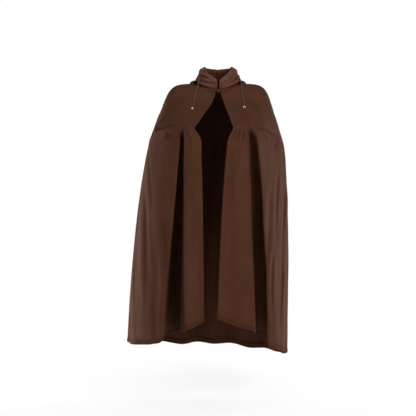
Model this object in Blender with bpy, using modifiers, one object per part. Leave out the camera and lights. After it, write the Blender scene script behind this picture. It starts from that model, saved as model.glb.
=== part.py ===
"""Hooded meditation cloak, worn open over raised forearms, as thin cloth walls.

Metres, +Z up, the front faces -Y. The origin is the middle of the neck opening, at the
height of the shoulders, where the wearer carries the cloak. Left and right are the wearer's.
"""

from collections import namedtuple

import bpy
import numpy as np

# Cloth and seams
CLOTH_WALL = 0.002
SEAM_GAP = 0.0010
HOOD_SEAM_RISE = 0.0016

# Neck opening: half its width, and its reach to the front and to the back
NECK_HALF_WIDTH = 0.085
NECK_FRONT_REACH = 0.085
NECK_BACK_REACH = 0.075
NECK_FRONT_Z = -0.025
NECK_BACK_Z = 0.020

# Shoulder ring: where the cloth leaves the shoulders and turns down
SHOULDER_HALF_WIDTH = 0.205
CHEST_REACH = 0.118
UPPER_BACK_REACH = 0.128
SHOULDER_Z = -0.016
CHEST_DROP = 0.078
UPPER_BACK_DROP = 0.050

# Outward swell at the sides: above the forearms, and halfway down the skirt
UPPER_ARM_SWELL = 0.010
SKIRT_SWELL = 0.010

# Where the ring over the top of the forearms is, on the way down to the forearm ring
ARM_TOP_SHARE = 0.75

# Heights of the skirt's rings, as shares of the way from the forearm to the hem
SKIRT_LEVELS = (0.05, 0.15, 0.30, 0.50, 0.74, 1.0)

# How much steeper than the gentler stretch beside it a smooth curve may leave a point
TANGENT_LIMIT = 1.8
NO_LENGTH = 1e-9

# Mesh rows in each stretch from ring to ring, neck to hem
ROWS_PER_STRETCH = (4, 3, 3, 1, 2, 2, 2, 3, 3, 3)
COLUMN_WIDTH = 0.044

# One row for each fold line, from the right front edge round the back to the left front edge.
# neck_deg and chest_deg are turns round the neck opening, from the front over the right side.
# A bow under 1 brings the line near its place at the hem soon after it leaves the forearm.
FoldLine = namedtuple(
    "FoldLine", "name neck_deg chest_deg arm_x arm_y arm_z hem_x hem_y hem_z bow_x bow_y"
)
FOLD_LINES = (
    FoldLine("right edge", 3, 8, -0.106, -0.332, -0.216, -0.064, -0.350, -1.062, 0.18, 0.40),
    FoldLine("right inner flat", 9, 14, -0.130, -0.330, -0.216, -0.112, -0.368, -1.086, 0.45, 0.45),
    FoldLine("right inner ridge", 16, 20, -0.146, -0.321, -0.216, -0.150, -0.360, -1.101, 0.60, 0.60),
    FoldLine("right ridge flank", 20, 24, -0.149, -0.315, -0.215, -0.152, -0.324, -1.112, 0.80, 0.80),
    FoldLine("right deep valley", 24, 27, -0.152, -0.309, -0.214, -0.192, -0.162, -1.142, 0.80, 0.40),
    FoldLine("right valley wall", 28, 31, -0.161, -0.302, -0.213, -0.244, -0.258, -1.150, 0.90, 0.50),
    FoldLine("right outer ridge", 33, 35, -0.165, -0.298, -0.212, -0.250, -0.304, -1.157, 1.10, 1.00),
    FoldLine("right outer front", 43, 44, -0.214, -0.252, -0.211, -0.296, -0.270, -1.177, 0.90, 0.90),
    FoldLine("right outer flat", 55, 55, -0.264, -0.180, -0.214, -0.345, -0.214, -1.190, 0.90, 0.90),
    FoldLine("right elbow", 70, 70, -0.300, -0.112, -0.236, -0.400, -0.090, -1.212, 0.85, 0.85),
    FoldLine("right side ridge", 82, 82, -0.314, -0.060, -0.256, -0.416, -0.010, -1.222, 0.80, 0.80),
    FoldLine("right side seam", 90, 90, -0.318, -0.026, -0.262, -0.407, 0.040, -1.228, 0.80, 0.80),
    FoldLine("right back ridge", 99, 99, -0.316, 0.010, -0.262, -0.438, 0.088, -1.235, 0.75, 0.75),
    FoldLine("right back flat", 112, 112, -0.298, 0.066, -0.256, -0.402, 0.166, -1.245, 0.80, 0.80),
    FoldLine("back valley 1", 124, 124, -0.266, 0.108, -0.250, -0.338, 0.158, -1.252, 0.80, 0.80),
    FoldLine("back ridge 1", 136, 136, -0.220, 0.138, -0.245, -0.276, 0.242, -1.260, 0.85, 0.85),
    FoldLine("back valley 2", 151, 151, -0.154, 0.159, -0.242, -0.176, 0.186, -1.264, 0.80, 0.80),
    FoldLine("back ridge 2", 166, 166, -0.080, 0.170, -0.240, -0.098, 0.276, -1.268, 0.85, 0.85),
    FoldLine("back valley 3", 178, 178, -0.012, 0.173, -0.240, -0.020, 0.226, -1.270, 0.80, 0.80),
    FoldLine("back ridge 3", 193, 193, 0.068, 0.171, -0.240, 0.068, 0.272, -1.274, 0.85, 0.85),
    FoldLine("back valley 4", 209, 209, 0.148, 0.160, -0.242, 0.160, 0.188, -1.282, 0.80, 0.80),
    FoldLine("back ridge 4", 224, 224, 0.212, 0.136, -0.246, 0.232, 0.226, -1.290, 0.85, 0.85),
    FoldLine("left back flat", 240, 240, 0.260, 0.096, -0.254, 0.288, 0.156, -1.294, 0.80, 0.80),
    FoldLine("left back ridge", 257, 257, 0.294, 0.044, -0.262, 0.330, 0.092, -1.290, 0.45, 0.80),
    FoldLine("left side seam", 270, 270, 0.300, -0.004, -0.268, 0.309, 0.038, -1.280, 0.80, 0.80),
    FoldLine("left side ridge", 279, 279, 0.300, -0.048, -0.268, 0.325, -0.014, -1.266, 0.40, 0.75),
    FoldLine("left elbow", 291, 291, 0.284, -0.092, -0.250, 0.308, -0.090, -1.244, 0.80, 0.80),
    FoldLine("left outer flat", 305, 304, 0.250, -0.142, -0.226, 0.280, -0.176, -1.222, 0.85, 0.85),
    FoldLine("left outer front", 316, 314, 0.202, -0.220, -0.212, 0.257, -0.230, -1.206, 0.80, 0.80),
    FoldLine("left outer ridge", 325, 322, 0.142, -0.291, -0.208, 0.221, -0.266, -1.190, 0.42, 0.60),
    FoldLine("left valley wall", 330, 327, 0.138, -0.291, -0.209, 0.230, -0.206, -1.166, 0.42, 0.50),
    FoldLine("left deep valley", 334, 331, 0.133, -0.292, -0.210, 0.122, -0.186, -1.138, 0.36, 0.36),
    FoldLine("left ridge flank", 338, 335, 0.128, -0.302, -0.212, 0.160, -0.316, -1.120, 0.80, 0.80),
    FoldLine("left inner ridge", 342, 339, 0.121, -0.311, -0.214, 0.158, -0.350, -1.108, 0.70, 0.70),
    FoldLine("left inner flat", 350, 346, 0.094, -0.323, -0.216, 0.082, -0.366, -1.082, 0.50, 0.50),
    FoldLine("left edge", 357, 353, 0.064, -0.330, -0.216, -0.006, -0.350, -1.050, 0.42, 0.42),
)
RIGHT_SIDE_SEAM = 11
LEFT_SIDE_SEAM = 24

# One row for each section of the hood, from the throat to the centre back, alike on both
# sides. The cloth stands up from the neck seam, leans in over the neck, rolls over and lies
# on the panels: reach is measured along them from the seam, lie and puff off them. At the
# back it comes up again by back_up, which leaves a pouch that is open at the top.
HoodSection = namedtuple("HoodSection", "deg stand lean roll reach lie puff back_up")
HOOD_SECTIONS = (
    HoodSection(3, 0.032, 0.001, 0.005, 0.006, 0.007, 0.000, -0.004),
    HoodSection(16, 0.042, 0.004, 0.006, 0.009, 0.009, 0.000, -0.006),
    HoodSection(38, 0.056, 0.012, 0.008, 0.012, 0.014, 0.000, -0.008),
    HoodSection(65, 0.068, 0.024, 0.009, 0.015, 0.018, 0.000, -0.009),
    HoodSection(92, 0.070, 0.028, 0.009, 0.026, 0.007, 0.003, -0.008),
    HoodSection(116, 0.062, 0.023, 0.010, 0.044, 0.006, 0.007, 0.003),
    HoodSection(136, 0.054, 0.017, 0.012, 0.112, 0.008, 0.028, 0.056),
    HoodSection(158, 0.046, 0.010, 0.013, 0.188, 0.008, 0.046, 0.124),
    HoodSection(180, 0.042, 0.008, 0.014, 0.212, 0.008, 0.050, 0.150),
)
HOOD_COLUMNS = 20
HOOD_ROWS = 18
# The hood's sections turn from upright to square with the panel within this distance
HOOD_SETTLES_WITHIN = 0.045
# The hood's loose part falls from its roll to the panel within about this distance
HOOD_FALLS_WITHIN = 0.10
HOOD_MIDDLE_LIFT = 0.66
HOOD_RIM_TURN = 0.015
# Where the panel under the hood is read: distances down from the neck seam, and how many
MERIDIAN_READ = (0.002, 0.40, 100)

# Frog fastening at the throat
FROG_CORD_DIAMETER = 0.0042
FROG_BAR_REACH = 0.050
FROG_STRAND_PITCH = 0.0047
FROG_ROW_SHARE = 0.27
FROG_FOLD_LINES = 6
FROG_LINE_POINTS = 30
KNOT_STRAND_STATIONS = (0.0095, 0.020, 0.032)
LOOP_STRAND_STATIONS = (0.014, 0.024, 0.034)
FROG_EYE_HALF_WIDTH = 0.0062
FROG_EYE_CENTRE = 0.0005
FROG_EYE_HALF_TURN = 120
FROG_KNOT_DIAMETER = 0.0150
FROG_KNOT_OFF = 0.0117
SEAT_GAP = 0.0003

# Drawstring of the hood: its two free ends lie on the fronts, each with a bead
DRAWSTRING_DIAMETER = 0.004
DRAWSTRING_POINT_STEP = 0.0095
BEAD_DIAMETER = 0.011
RIGHT_DRAWSTRING_ROUTE = (
    (-0.0874, -0.0441, 0.0315),
    (-0.0879, -0.0462, 0.0248),
    (-0.0884, -0.0489, 0.0177),
    (-0.0886, -0.0527, 0.0112),
    (-0.0892, -0.0588, 0.0063),
    (-0.0907, -0.0653, -0.0008),
    (-0.0930, -0.0700, -0.0120),
    (-0.0972, -0.0741, -0.0275),
    (-0.1017, -0.0791, -0.0405),
    (-0.1076, -0.1004, -0.0707),
    (-0.1104, -0.1224, -0.0896),
    (-0.1128, -0.1462, -0.1062),
    (-0.1160, -0.1690, -0.1203),
    (-0.1173, -0.1799, -0.1263),
)
RIGHT_BEAD_CENTRE = (-0.1178, -0.1865, -0.1264)
LEFT_DRAWSTRING_ROUTE = (
    (0.0970, -0.0181, 0.0394),
    (0.0981, -0.0230, 0.0332),
    (0.0998, -0.0256, 0.0264),
    (0.1014, -0.0297, 0.0202),
    (0.1030, -0.0366, 0.0158),
    (0.1050, -0.0454, 0.0100),
    (0.1068, -0.0520, 0.0000),
    (0.1086, -0.0592, -0.0112),
    (0.1096, -0.0660, -0.0215),
    (0.1092, -0.0744, -0.0354),
    (0.1112, -0.0883, -0.0557),
    (0.1142, -0.1080, -0.0785),
    (0.1168, -0.1303, -0.0967),
    (0.1170, -0.1462, -0.1063),
    (0.1170, -0.1574, -0.1131),
    (0.1169, -0.1668, -0.1193),
)
LEFT_BEAD_CENTRE = (0.1168, -0.1733, -0.1198)

BROWN = (0.055, 0.022, 0.013, 1.0)
FROG_BROWN = (0.070, 0.028, 0.018, 1.0)
CORD_BROWN = (0.14, 0.075, 0.055, 1.0)
BEAD_CREAM = (0.66, 0.58, 0.50, 1.0)


def clear_scene():
    for obj in list(bpy.data.objects):
        bpy.data.objects.remove(obj, do_unlink=True)


def make_material(name, colour, roughness, metallic=0.0):
    material = bpy.data.materials.new(name)
    material.use_nodes = True
    shader = material.node_tree.nodes["Principled BSDF"]
    shader.inputs["Base Color"].default_value = colour
    shader.inputs["Roughness"].default_value = roughness
    shader.inputs["Metallic"].default_value = metallic
    return material


def smooth_curve(knots, points, at):
    """Values at the parameters at, on the curve through points[i] at knots[i], with no corners.

    A tangent is held to a few times the gentler slope beside it, so close points make no loop.
    """
    knots = np.asarray(knots, float)
    points = np.asarray(points, float)
    step = np.diff(knots)
    slope = np.diff(points, axis=0) / step.reshape(-1, *[1] * (points.ndim - 1))
    before = step[:-1].reshape(-1, *[1] * (points.ndim - 1))
    after = step[1:].reshape(-1, *[1] * (points.ndim - 1))
    inner = (slope[:-1] * after + slope[1:] * before) / (before + after)
    steepness = np.linalg.norm(slope, axis=-1, keepdims=True)
    limit = TANGENT_LIMIT * np.minimum(steepness[:-1], steepness[1:])
    length = np.maximum(np.linalg.norm(inner, axis=-1, keepdims=True), NO_LENGTH)
    inner *= np.minimum(1, limit / length)
    tangent = np.concatenate([slope[:1], inner, slope[-1:]])
    index = np.clip(np.searchsorted(knots, at, side="right") - 1, 0, len(step) - 1)
    share = ((at - knots[index]) / step[index]).reshape(-1, *[1] * (points.ndim - 1))
    width = step[index].reshape(share.shape)
    start, end = points[index], points[index + 1]
    return (
        (1 + 2 * share) * (1 - share) ** 2 * start
        + share * (1 - share) ** 2 * width * tangent[index]
        + share**2 * (3 - 2 * share) * end
        + share**2 * (share - 1) * width * tangent[index + 1]
    )


def neck_ring(degrees):
    """Points of the neck opening at turns from the front, over the wearer's right."""
    turn = np.radians(degrees)
    ahead = np.maximum(np.cos(turn), 0)
    behind = np.maximum(-np.cos(turn), 0)
    return np.stack(
        [
            -NECK_HALF_WIDTH * np.sin(turn),
            NECK_BACK_REACH * behind - NECK_FRONT_REACH * ahead,
            NECK_FRONT_Z * ahead**2 + NECK_BACK_Z * behind**2,
        ],
        axis=-1,
    )


def shoulder_ring(degrees):
    turn = np.radians(degrees)
    ahead = np.maximum(np.cos(turn), 0)
    behind = np.maximum(-np.cos(turn), 0)
    return np.stack(
        [
            -SHOULDER_HALF_WIDTH * np.sin(turn),
            UPPER_BACK_REACH * behind - CHEST_REACH * ahead,
            SHOULDER_Z - CHEST_DROP * ahead**1.5 - UPPER_BACK_DROP * behind**1.5,
        ],
        axis=-1,
    )


def body_rings():
    """The cloak's rings from neck to hem, each with one point on every fold line."""
    lines = FOLD_LINES
    neck = neck_ring(np.array([line.neck_deg for line in lines], float))
    chest_turn = np.array([line.chest_deg for line in lines], float)
    shoulder = shoulder_ring(chest_turn)
    arm = np.array([(line.arm_x, line.arm_y, line.arm_z) for line in lines])
    hem = np.array([(line.hem_x, line.hem_y, line.hem_z) for line in lines])
    sideways = np.abs(np.sin(np.radians(chest_turn)))[:, None]
    outward = arm * (1, 1, 0)
    outward /= np.linalg.norm(outward, axis=1, keepdims=True)
    upper_arm = (shoulder + arm) / 2 + outward * UPPER_ARM_SWELL * sideways**3
    arm_top = upper_arm + (arm - upper_arm) * ARM_TOP_SHARE
    rings = [neck, shoulder, upper_arm, arm_top, arm]
    for level in SKIRT_LEVELS:
        share = np.array([(level**line.bow_x, level**line.bow_y, level) for line in lines])
        swell = SKIRT_SWELL * 4 * level * (1 - level) * sideways**2
        rings.append(arm + (hem - arm) * share + outward * swell)
    return np.array(rings)


def shares_of(stretches):
    """Parameters along a row of knots 0, 1, 2 ... with the given number of steps in each."""
    parts = [i + np.arange(steps) / steps for i, steps in enumerate(stretches)]
    return np.append(np.concatenate(parts), len(stretches))


def ring_knots(rings):
    """Knots whose spacing is the mean distance between neighbouring rings."""
    gaps = np.linalg.norm(np.diff(rings, axis=0), axis=-1).mean(axis=1)
    return np.concatenate([[0], np.cumsum(gaps)])


class ClothSurface:
    """The cloak's middle surface, read at places down it and round it."""

    def __init__(self):
        self.rings = body_rings()
        self.down_knots = ring_knots(self.rings)
        skirt = np.swapaxes(self.rings[-len(SKIRT_LEVELS) - 1 :], 0, 1)
        self.round_knots = ring_knots(skirt)
        self.neck_degrees = np.array([line.neck_deg for line in FOLD_LINES], float)

    def points(self, down, around):
        """A grid of points, with a row for each value of down."""
        rows = smooth_curve(self.down_knots, self.rings, down)
        across = np.swapaxes(rows, 0, 1)
        return np.swapaxes(smooth_curve(self.round_knots, across, around), 0, 1)

    def points_and_normals(self, down, around, step=0.001):
        grid = self.points(down, around)
        down_step = self.points(down + step, around) - self.points(down - step, around)
        round_step = self.points(down, around + step) - self.points(down, around - step)
        normal = np.cross(round_step, down_step)
        return grid, normal / np.linalg.norm(normal, axis=-1, keepdims=True)

    def round_at(self, degrees):
        return np.interp(degrees, self.neck_degrees, self.round_knots)

    def grid(self):
        """The points of the whole cloth, and the grid column of each fold line."""
        down_shares = shares_of(ROWS_PER_STRETCH)
        rows = np.interp(down_shares, np.arange(len(self.down_knots)), self.down_knots)
        gaps = np.diff(self.round_knots)
        steps = np.maximum(2, np.round(gaps / COLUMN_WIDTH)).astype(int)
        round_shares = shares_of(steps)
        columns = np.interp(round_shares, np.arange(len(self.round_knots)), self.round_knots)
        return self.points(rows, columns), np.concatenate([[0], np.cumsum(steps)])


def pull_in(grid, column, neighbour, distance):
    """Moves a border column towards its neighbour, which leaves the gap of a seam."""
    away = grid[:, neighbour] - grid[:, column]
    grid[:, column] += away / np.linalg.norm(away, axis=1, keepdims=True) * distance


def cloth_object(name, grid, material, collection):
    """A wall of cloth on a grid of points, whose faces look outwards."""
    rows, columns = grid.shape[:2]
    index = np.arange(rows * columns).reshape(rows, columns)
    corners = [index[:-1, :-1], index[1:, :-1], index[1:, 1:], index[:-1, 1:]]
    faces = np.stack([corner.ravel() for corner in corners], axis=-1)
    mesh = bpy.data.meshes.new(name)
    mesh.from_pydata(grid.reshape(-1, 3).tolist(), [], faces.tolist())
    mesh.shade_smooth()
    obj = bpy.data.objects.new(name, mesh)
    collection.objects.link(obj)
    wall = obj.modifiers.new("wall", "SOLIDIFY")
    wall.thickness = CLOTH_WALL
    wall.offset = 0
    obj.data.materials.append(material)
    return obj


def make_body(surface, material, collection):
    grid, line_columns = surface.grid()
    right_seam = line_columns[RIGHT_SIDE_SEAM]
    left_seam = line_columns[LEFT_SIDE_SEAM]
    panels = {
        "front_right_panel": grid[:, : right_seam + 1].copy(),
        "back_panel": grid[:, right_seam : left_seam + 1].copy(),
        "front_left_panel": grid[:, left_seam:].copy(),
    }
    pull_in(panels["front_right_panel"], -1, -2, SEAM_GAP / 2)
    pull_in(panels["back_panel"], 0, 1, SEAM_GAP / 2)
    pull_in(panels["back_panel"], -1, -2, SEAM_GAP / 2)
    pull_in(panels["front_left_panel"], 0, 1, SEAM_GAP / 2)
    for name, panel in panels.items():
        cloth_object(name, panel, material, collection)


def hood_section_points(s):
    """(along, off) of one section, from the neck seam to the rim."""
    over = 2 * s.roll - s.lean
    fall = np.exp(-s.reach / HOOD_FALLS_WITHIN)
    middle_off = s.lie + HOOD_MIDDLE_LIFT * (s.stand - s.lie) * fall
    turned_up = max(0, HOOD_RIM_TURN - abs(s.back_up)) * min(1, s.puff / HOOD_RIM_TURN)
    return np.array(
        [
            (0, 0),
            (-0.45 * s.lean, 0.5 * s.stand),
            (-s.lean, s.stand),
            (s.roll - s.lean, s.stand + 0.7 * s.roll),
            (over, s.stand - 0.1 * s.roll),
            ((over + s.reach) / 2, middle_off),
            (s.reach, s.lie + 0.25 * s.puff),
            (s.reach - 0.38 * s.back_up, s.lie + s.puff + 0.4 * turned_up),
            (s.reach - s.back_up, s.lie + 1.05 * s.puff + turned_up),
        ]
    )


def hood_grid(surface, side):
    """The hood's half on one side, from the neck seam to the rim: -1 right, +1 left."""
    angles = np.array([section.deg for section in HOOD_SECTIONS], float)
    sections = np.array([hood_section_points(section) for section in HOOD_SECTIONS])
    turns = np.linspace(angles[0], angles[-1], HOOD_COLUMNS)
    profile = np.swapaxes(smooth_curve(angles, sections, turns), 0, 1)
    knots = ring_knots(profile)
    profile = smooth_curve(knots, profile, np.linspace(0, knots[-1], HOOD_ROWS))
    around = surface.round_at(turns if side < 0 else 360 - turns)
    down = np.linspace(*MERIDIAN_READ)
    base, normal = surface.points_and_normals(down, around)
    seam = surface.points(np.zeros(1), around)[0]
    grid = np.empty((HOOD_ROWS, HOOD_COLUMNS, 3))
    up = np.array([0.0, 0.0, 1.0])
    for column in range(HOOD_COLUMNS):
        line = np.vstack([seam[column], base[:, column]])
        steps = np.linalg.norm(np.diff(line, axis=0), axis=1)
        length = np.concatenate([[0], np.cumsum(steps)])
        along, off = profile[:, column, 0], profile[:, column, 1]
        on_line = np.stack([np.interp(along, length, line[:, i]) for i in range(3)], axis=-1)
        outward = seam[column] * (1, 1, 0)
        outward = outward / np.linalg.norm(outward)
        on_line += np.minimum(along, 0)[:, None] * outward
        face = np.stack(
            [np.interp(along, length[1:], normal[:, column, i]) for i in range(3)], axis=-1
        )
        settled = np.clip(along / HOOD_SETTLES_WITHIN, 0, 1)[:, None]
        lifted = (1 - settled) * up + settled * face
        lifted /= np.linalg.norm(lifted, axis=1, keepdims=True)
        grid[:, column] = on_line + lifted * off[:, None]
    grid[..., 2] += HOOD_SEAM_RISE
    return grid if side < 0 else grid[:, ::-1].copy()


def make_hood(surface, material, collection):
    for side, name in ((-1, "hood_right_half"), (1, "hood_left_half")):
        grid = hood_grid(surface, side)
        centre, beside = (-1, -2) if side < 0 else (0, 1)
        pull_in(grid, centre, beside, SEAM_GAP / 2)
        cloth_object(name, grid, material, collection)


def tube(name, points, diameter, material, collection, closed=False):
    """A cord of the given diameter along a list of points."""
    curve = bpy.data.curves.new(name, "CURVE")
    curve.dimensions = "3D"
    curve.bevel_depth = diameter / 2
    curve.bevel_resolution = 2
    curve.use_fill_caps = not closed
    spline = curve.splines.new("POLY")
    spline.points.add(len(points) - 1)
    spline.points.foreach_set("co", np.c_[points, np.ones(len(points))].ravel())
    spline.use_cyclic_u = closed
    obj = bpy.data.objects.new(name, curve)
    collection.objects.link(obj)
    curve.materials.append(material)
    return obj


class FrogLine:
    """The line across both fronts that the frog lies on, read at a distance from its middle."""

    def __init__(self, surface):
        down = np.array([FROG_ROW_SHARE * surface.down_knots[1]])
        knots = surface.round_knots
        right = np.linspace(knots[FROG_FOLD_LINES], knots[0], FROG_LINE_POINTS)
        left = np.linspace(knots[-1], knots[-1 - FROG_FOLD_LINES], FROG_LINE_POINTS)
        points, normals = [], []
        for around in (right, left):
            point, normal = surface.points_and_normals(down, around)
            points.append(point[0])
            normals.append(normal[0])
        self.line = np.concatenate(points)
        self.normals = np.concatenate(normals)
        steps = np.linalg.norm(np.diff(self.line, axis=0), axis=1)
        self.length = np.concatenate([[0], np.cumsum(steps)])
        self.length -= self.length[FROG_LINE_POINTS - 1 : FROG_LINE_POINTS + 1].mean()

    def read(self, values, along):
        return np.stack([np.interp(along, self.length, values[:, i]) for i in range(3)], axis=-1)

    def place(self, along, height, off):
        """Points at distances along the line, up the cloth from it and off the cloth."""
        base = self.read(self.line, along)
        normal = self.read(self.normals, along)
        normal /= np.linalg.norm(normal, axis=1, keepdims=True)
        tangent = self.read(self.line, along + 0.002) - self.read(self.line, along - 0.002)
        rise = np.cross(tangent, normal)
        rise /= np.linalg.norm(rise, axis=1, keepdims=True)
        return base + rise * np.asarray(height)[:, None] + normal * np.asarray(off)[:, None]


def strand_pair(stations):
    """(along, height) of a cord that runs out over the stations, bends back and returns."""
    half = FROG_STRAND_PITCH / 2
    turn = np.radians(np.linspace(90, 270, 7))
    bend_along = FROG_BAR_REACH - half - half * np.cos(turn)
    along = np.concatenate([stations, bend_along, stations[::-1]])
    height = np.concatenate([[half] * len(stations), half * np.sin(turn), [-half] * len(stations)])
    return along, height


def make_frog(surface, material, collection):
    line = FrogLine(surface)
    off = CLOTH_WALL / 2 + SEAT_GAP + FROG_CORD_DIAMETER / 2
    along, height = strand_pair(KNOT_STRAND_STATIONS)
    points = line.place(-along, height, np.full(len(along), off))
    tube("frog_knot_strands", points, FROG_CORD_DIAMETER, material, collection)
    along, height = strand_pair(LOOP_STRAND_STATIONS)
    turn = np.radians(np.linspace(-FROG_EYE_HALF_TURN, FROG_EYE_HALF_TURN, 9))
    along = np.append(along, FROG_EYE_CENTRE - FROG_EYE_HALF_WIDTH * np.cos(turn))
    height = np.append(height, FROG_EYE_HALF_WIDTH * np.sin(turn))
    points = line.place(along, height, np.full(len(along), off))
    tube("frog_loop", points, FROG_CORD_DIAMETER, material, collection, closed=True)
    centre = line.place(np.zeros(1), np.zeros(1), np.array([FROG_KNOT_OFF]))[0]
    ball("frog_knot", centre, FROG_KNOT_DIAMETER, material, collection)


def ball(name, centre, diameter, material, collection):
    bpy.ops.mesh.primitive_uv_sphere_add(
        segments=14, ring_count=8, radius=diameter / 2, location=centre
    )
    obj = bpy.context.object
    obj.name = obj.data.name = name
    obj.data.shade_smooth()
    obj.data.materials.append(material)
    for owner in list(obj.users_collection):
        owner.objects.unlink(obj)
    collection.objects.link(obj)


def make_drawstring(side, route, bead_centre, cord, bead, collection):
    route = np.array(route)
    steps = np.linalg.norm(np.diff(route, axis=0), axis=1)
    knots = np.concatenate([[0], np.cumsum(steps)])
    count = round(knots[-1] / DRAWSTRING_POINT_STEP) + 1
    points = smooth_curve(knots, route, np.linspace(0, knots[-1], count))
    tube(f"drawstring_{side}", points, DRAWSTRING_DIAMETER, cord, collection)
    ball(f"drawstring_bead_{side}", bead_centre, BEAD_DIAMETER, bead, collection)


def main():
    clear_scene()
    collection = bpy.data.collections.new("meditation_cloak")
    bpy.context.scene.collection.children.link(collection)
    cloth = make_material("brown_cloth", BROWN, 0.85)
    frog_cord = make_material("frog_cord", FROG_BROWN, 0.7)
    cord = make_material("drawstring_cord", CORD_BROWN, 0.75)
    bead = make_material("bead", BEAD_CREAM, 0.35)
    surface = ClothSurface()
    make_body(surface, cloth, collection)
    make_hood(surface, cloth, collection)
    make_frog(surface, frog_cord, collection)
    for side, route, bead_centre in (
        ("right", RIGHT_DRAWSTRING_ROUTE, RIGHT_BEAD_CENTRE),
        ("left", LEFT_DRAWSTRING_ROUTE, LEFT_BEAD_CENTRE),
    ):
        make_drawstring(side, route, bead_centre, cord, bead, collection)


main()
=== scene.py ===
import math

import bpy
import numpy as np
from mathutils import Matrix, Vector


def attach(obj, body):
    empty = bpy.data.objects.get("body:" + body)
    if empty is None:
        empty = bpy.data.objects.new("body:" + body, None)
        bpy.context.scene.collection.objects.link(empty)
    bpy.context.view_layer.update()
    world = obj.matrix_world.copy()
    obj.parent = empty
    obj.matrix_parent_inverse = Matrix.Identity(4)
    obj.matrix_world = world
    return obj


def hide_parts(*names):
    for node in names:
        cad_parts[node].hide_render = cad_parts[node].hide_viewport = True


# Hooded meditation cloak, worn open over raised forearms. Metres, +Z up, the front faces -Y.
# The origin is the middle of the neck opening. Left and right are the wearer's.

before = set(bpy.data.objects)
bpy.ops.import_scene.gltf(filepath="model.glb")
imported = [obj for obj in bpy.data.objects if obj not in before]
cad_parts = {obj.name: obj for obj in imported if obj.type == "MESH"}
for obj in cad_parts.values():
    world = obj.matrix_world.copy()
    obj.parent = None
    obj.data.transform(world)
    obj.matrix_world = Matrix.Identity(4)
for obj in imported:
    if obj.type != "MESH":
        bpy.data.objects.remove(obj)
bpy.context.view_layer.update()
print("frame loaded")

view = {
    "place": (-0.047, -4.600, -0.350),
    "aim": (-0.047, 0.000, -0.583),
    "lens": 84.7,
    "sensor": 36.0,
}

studio = {
    "floorHeight": -1.470,
    "paper": (0.86, 0.86, 0.86, 1.0),
    "ambient": 0.12,
    "paperShows": 0.30,     # how much of the floor's own shade shows close to the cloak
    "paperFrom": 0.9,
    "paperTo": 2.8,         # from this far off the floor is plain white light
    "paperRough": 0.9,
    "floorRings": (0.0, 1.0, 2.0, 3.0, 5.0, 9.0, 18.0, 40.0),
    "floorSpokes": 96,
    # name, place, aim, width, height, watts
    "lamps": (
        ("keyBox", (2.4, -3.5, 1.5), (0.1, 0.0, -0.70), 1.1, 1.1, 117),
        ("fillBox", (-2.4, -3.7, 0.9), (-0.1, 0.0, -0.65), 1.3, 1.3, 54),
        ("topBox", (0.0, -0.9, 3.2), (0.0, 0.0, -0.2), 1.6, 1.2, 30),
        ("rightStrip", (-2.1, 2.3, -0.5), (-0.3, 0.1, -0.60), 0.5, 1.4, 45),
        ("rightLow", (-2.4, 1.4, -1.1), (-0.4, 0.1, -1.15), 0.4, 0.7, 66),
        ("leftStrip", (2.2, 2.1, -0.35), (0.3, 0.0, -0.45), 0.5, 1.4, 70),
        ("leftLow", (2.3, 1.9, -1.1), (0.3, 0.0, -1.15), 0.4, 0.7, 34),
        ("backBox", (0.4, 4.0, 0.5), (0.0, 0.0, -0.6), 1.6, 2.0, 22),
    ),
}

# The two free ends of the hood's drawstring, from the eyelet down to the bead
drawstrings = {
    "diameter": 0.004,
    "braidPitch": 0.0042,
    "braidStrands": 8,
    "braidRelief": 0.13,
    "braidCrown": 1.3,
    "sides": 32,
    "inEyelet": 0.0050,     # length of cord behind the eyelet
    "inBead": 0.0050,       # length of cord inside the bead
    "lead": 0.0012,         # straight out of the eyelet
    "beadDiameter": 0.011,
    "beadBore": 0.0044,
    "reach": 0.0031,        # from the cord's middle to the middle of the cloth it lies on
    "nearBox": 0.03,        # cloth this close to a cord is looked at
    "sideRise": 110,        # how fast the cloth may rise beside a cord
    "clearFrom": 0.0005,
    "clearTo": 0.020,
    "pathPoints": 520,
    "restPoints": 150,
    "beadSides": 40,
    "beadRings": 29,
    "boreRings": 9,
    "boreWaist": 0.00025,   # how much narrower the bore is halfway through
    "right": {
        "length": 0.238,
        "route": (
            (-0.0874, -0.0441, 0.0315),
            (-0.0879, -0.0462, 0.0248),
            (-0.0884, -0.0489, 0.0177),
            (-0.0886, -0.0527, 0.0112),
            (-0.0892, -0.0588, 0.0063),
            (-0.0907, -0.0653, -0.0008),
            (-0.0930, -0.0700, -0.0120),
            (-0.0972, -0.0741, -0.0275),
            (-0.1017, -0.0791, -0.0405),
            (-0.1076, -0.1004, -0.0707),
            (-0.1104, -0.1224, -0.0896),
            (-0.1128, -0.1462, -0.1062),
            (-0.1160, -0.1690, -0.1203),
            (-0.1173, -0.1799, -0.1263),
        ),
        "bead": (-0.1178, -0.1865, -0.1264),
    },
    "left": {
        "length": 0.240,
        "route": (
            (0.0970, -0.0181, 0.0394),
            (0.0981, -0.0230, 0.0332),
            (0.0998, -0.0256, 0.0264),
            (0.1014, -0.0297, 0.0202),
            (0.1030, -0.0366, 0.0158),
            (0.1050, -0.0454, 0.0100),
            (0.1068, -0.0520, 0.0000),
            (0.1086, -0.0592, -0.0112),
            (0.1096, -0.0660, -0.0215),
            (0.1092, -0.0744, -0.0354),
            (0.1112, -0.0883, -0.0557),
            (0.1142, -0.1080, -0.0785),
            (0.1168, -0.1303, -0.0967),
            (0.1170, -0.1462, -0.1063),
            (0.1170, -0.1574, -0.1131),
            (0.1169, -0.1668, -0.1193),
        ),
        "bead": (0.1168, -0.1733, -0.1198),
    },
}

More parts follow.
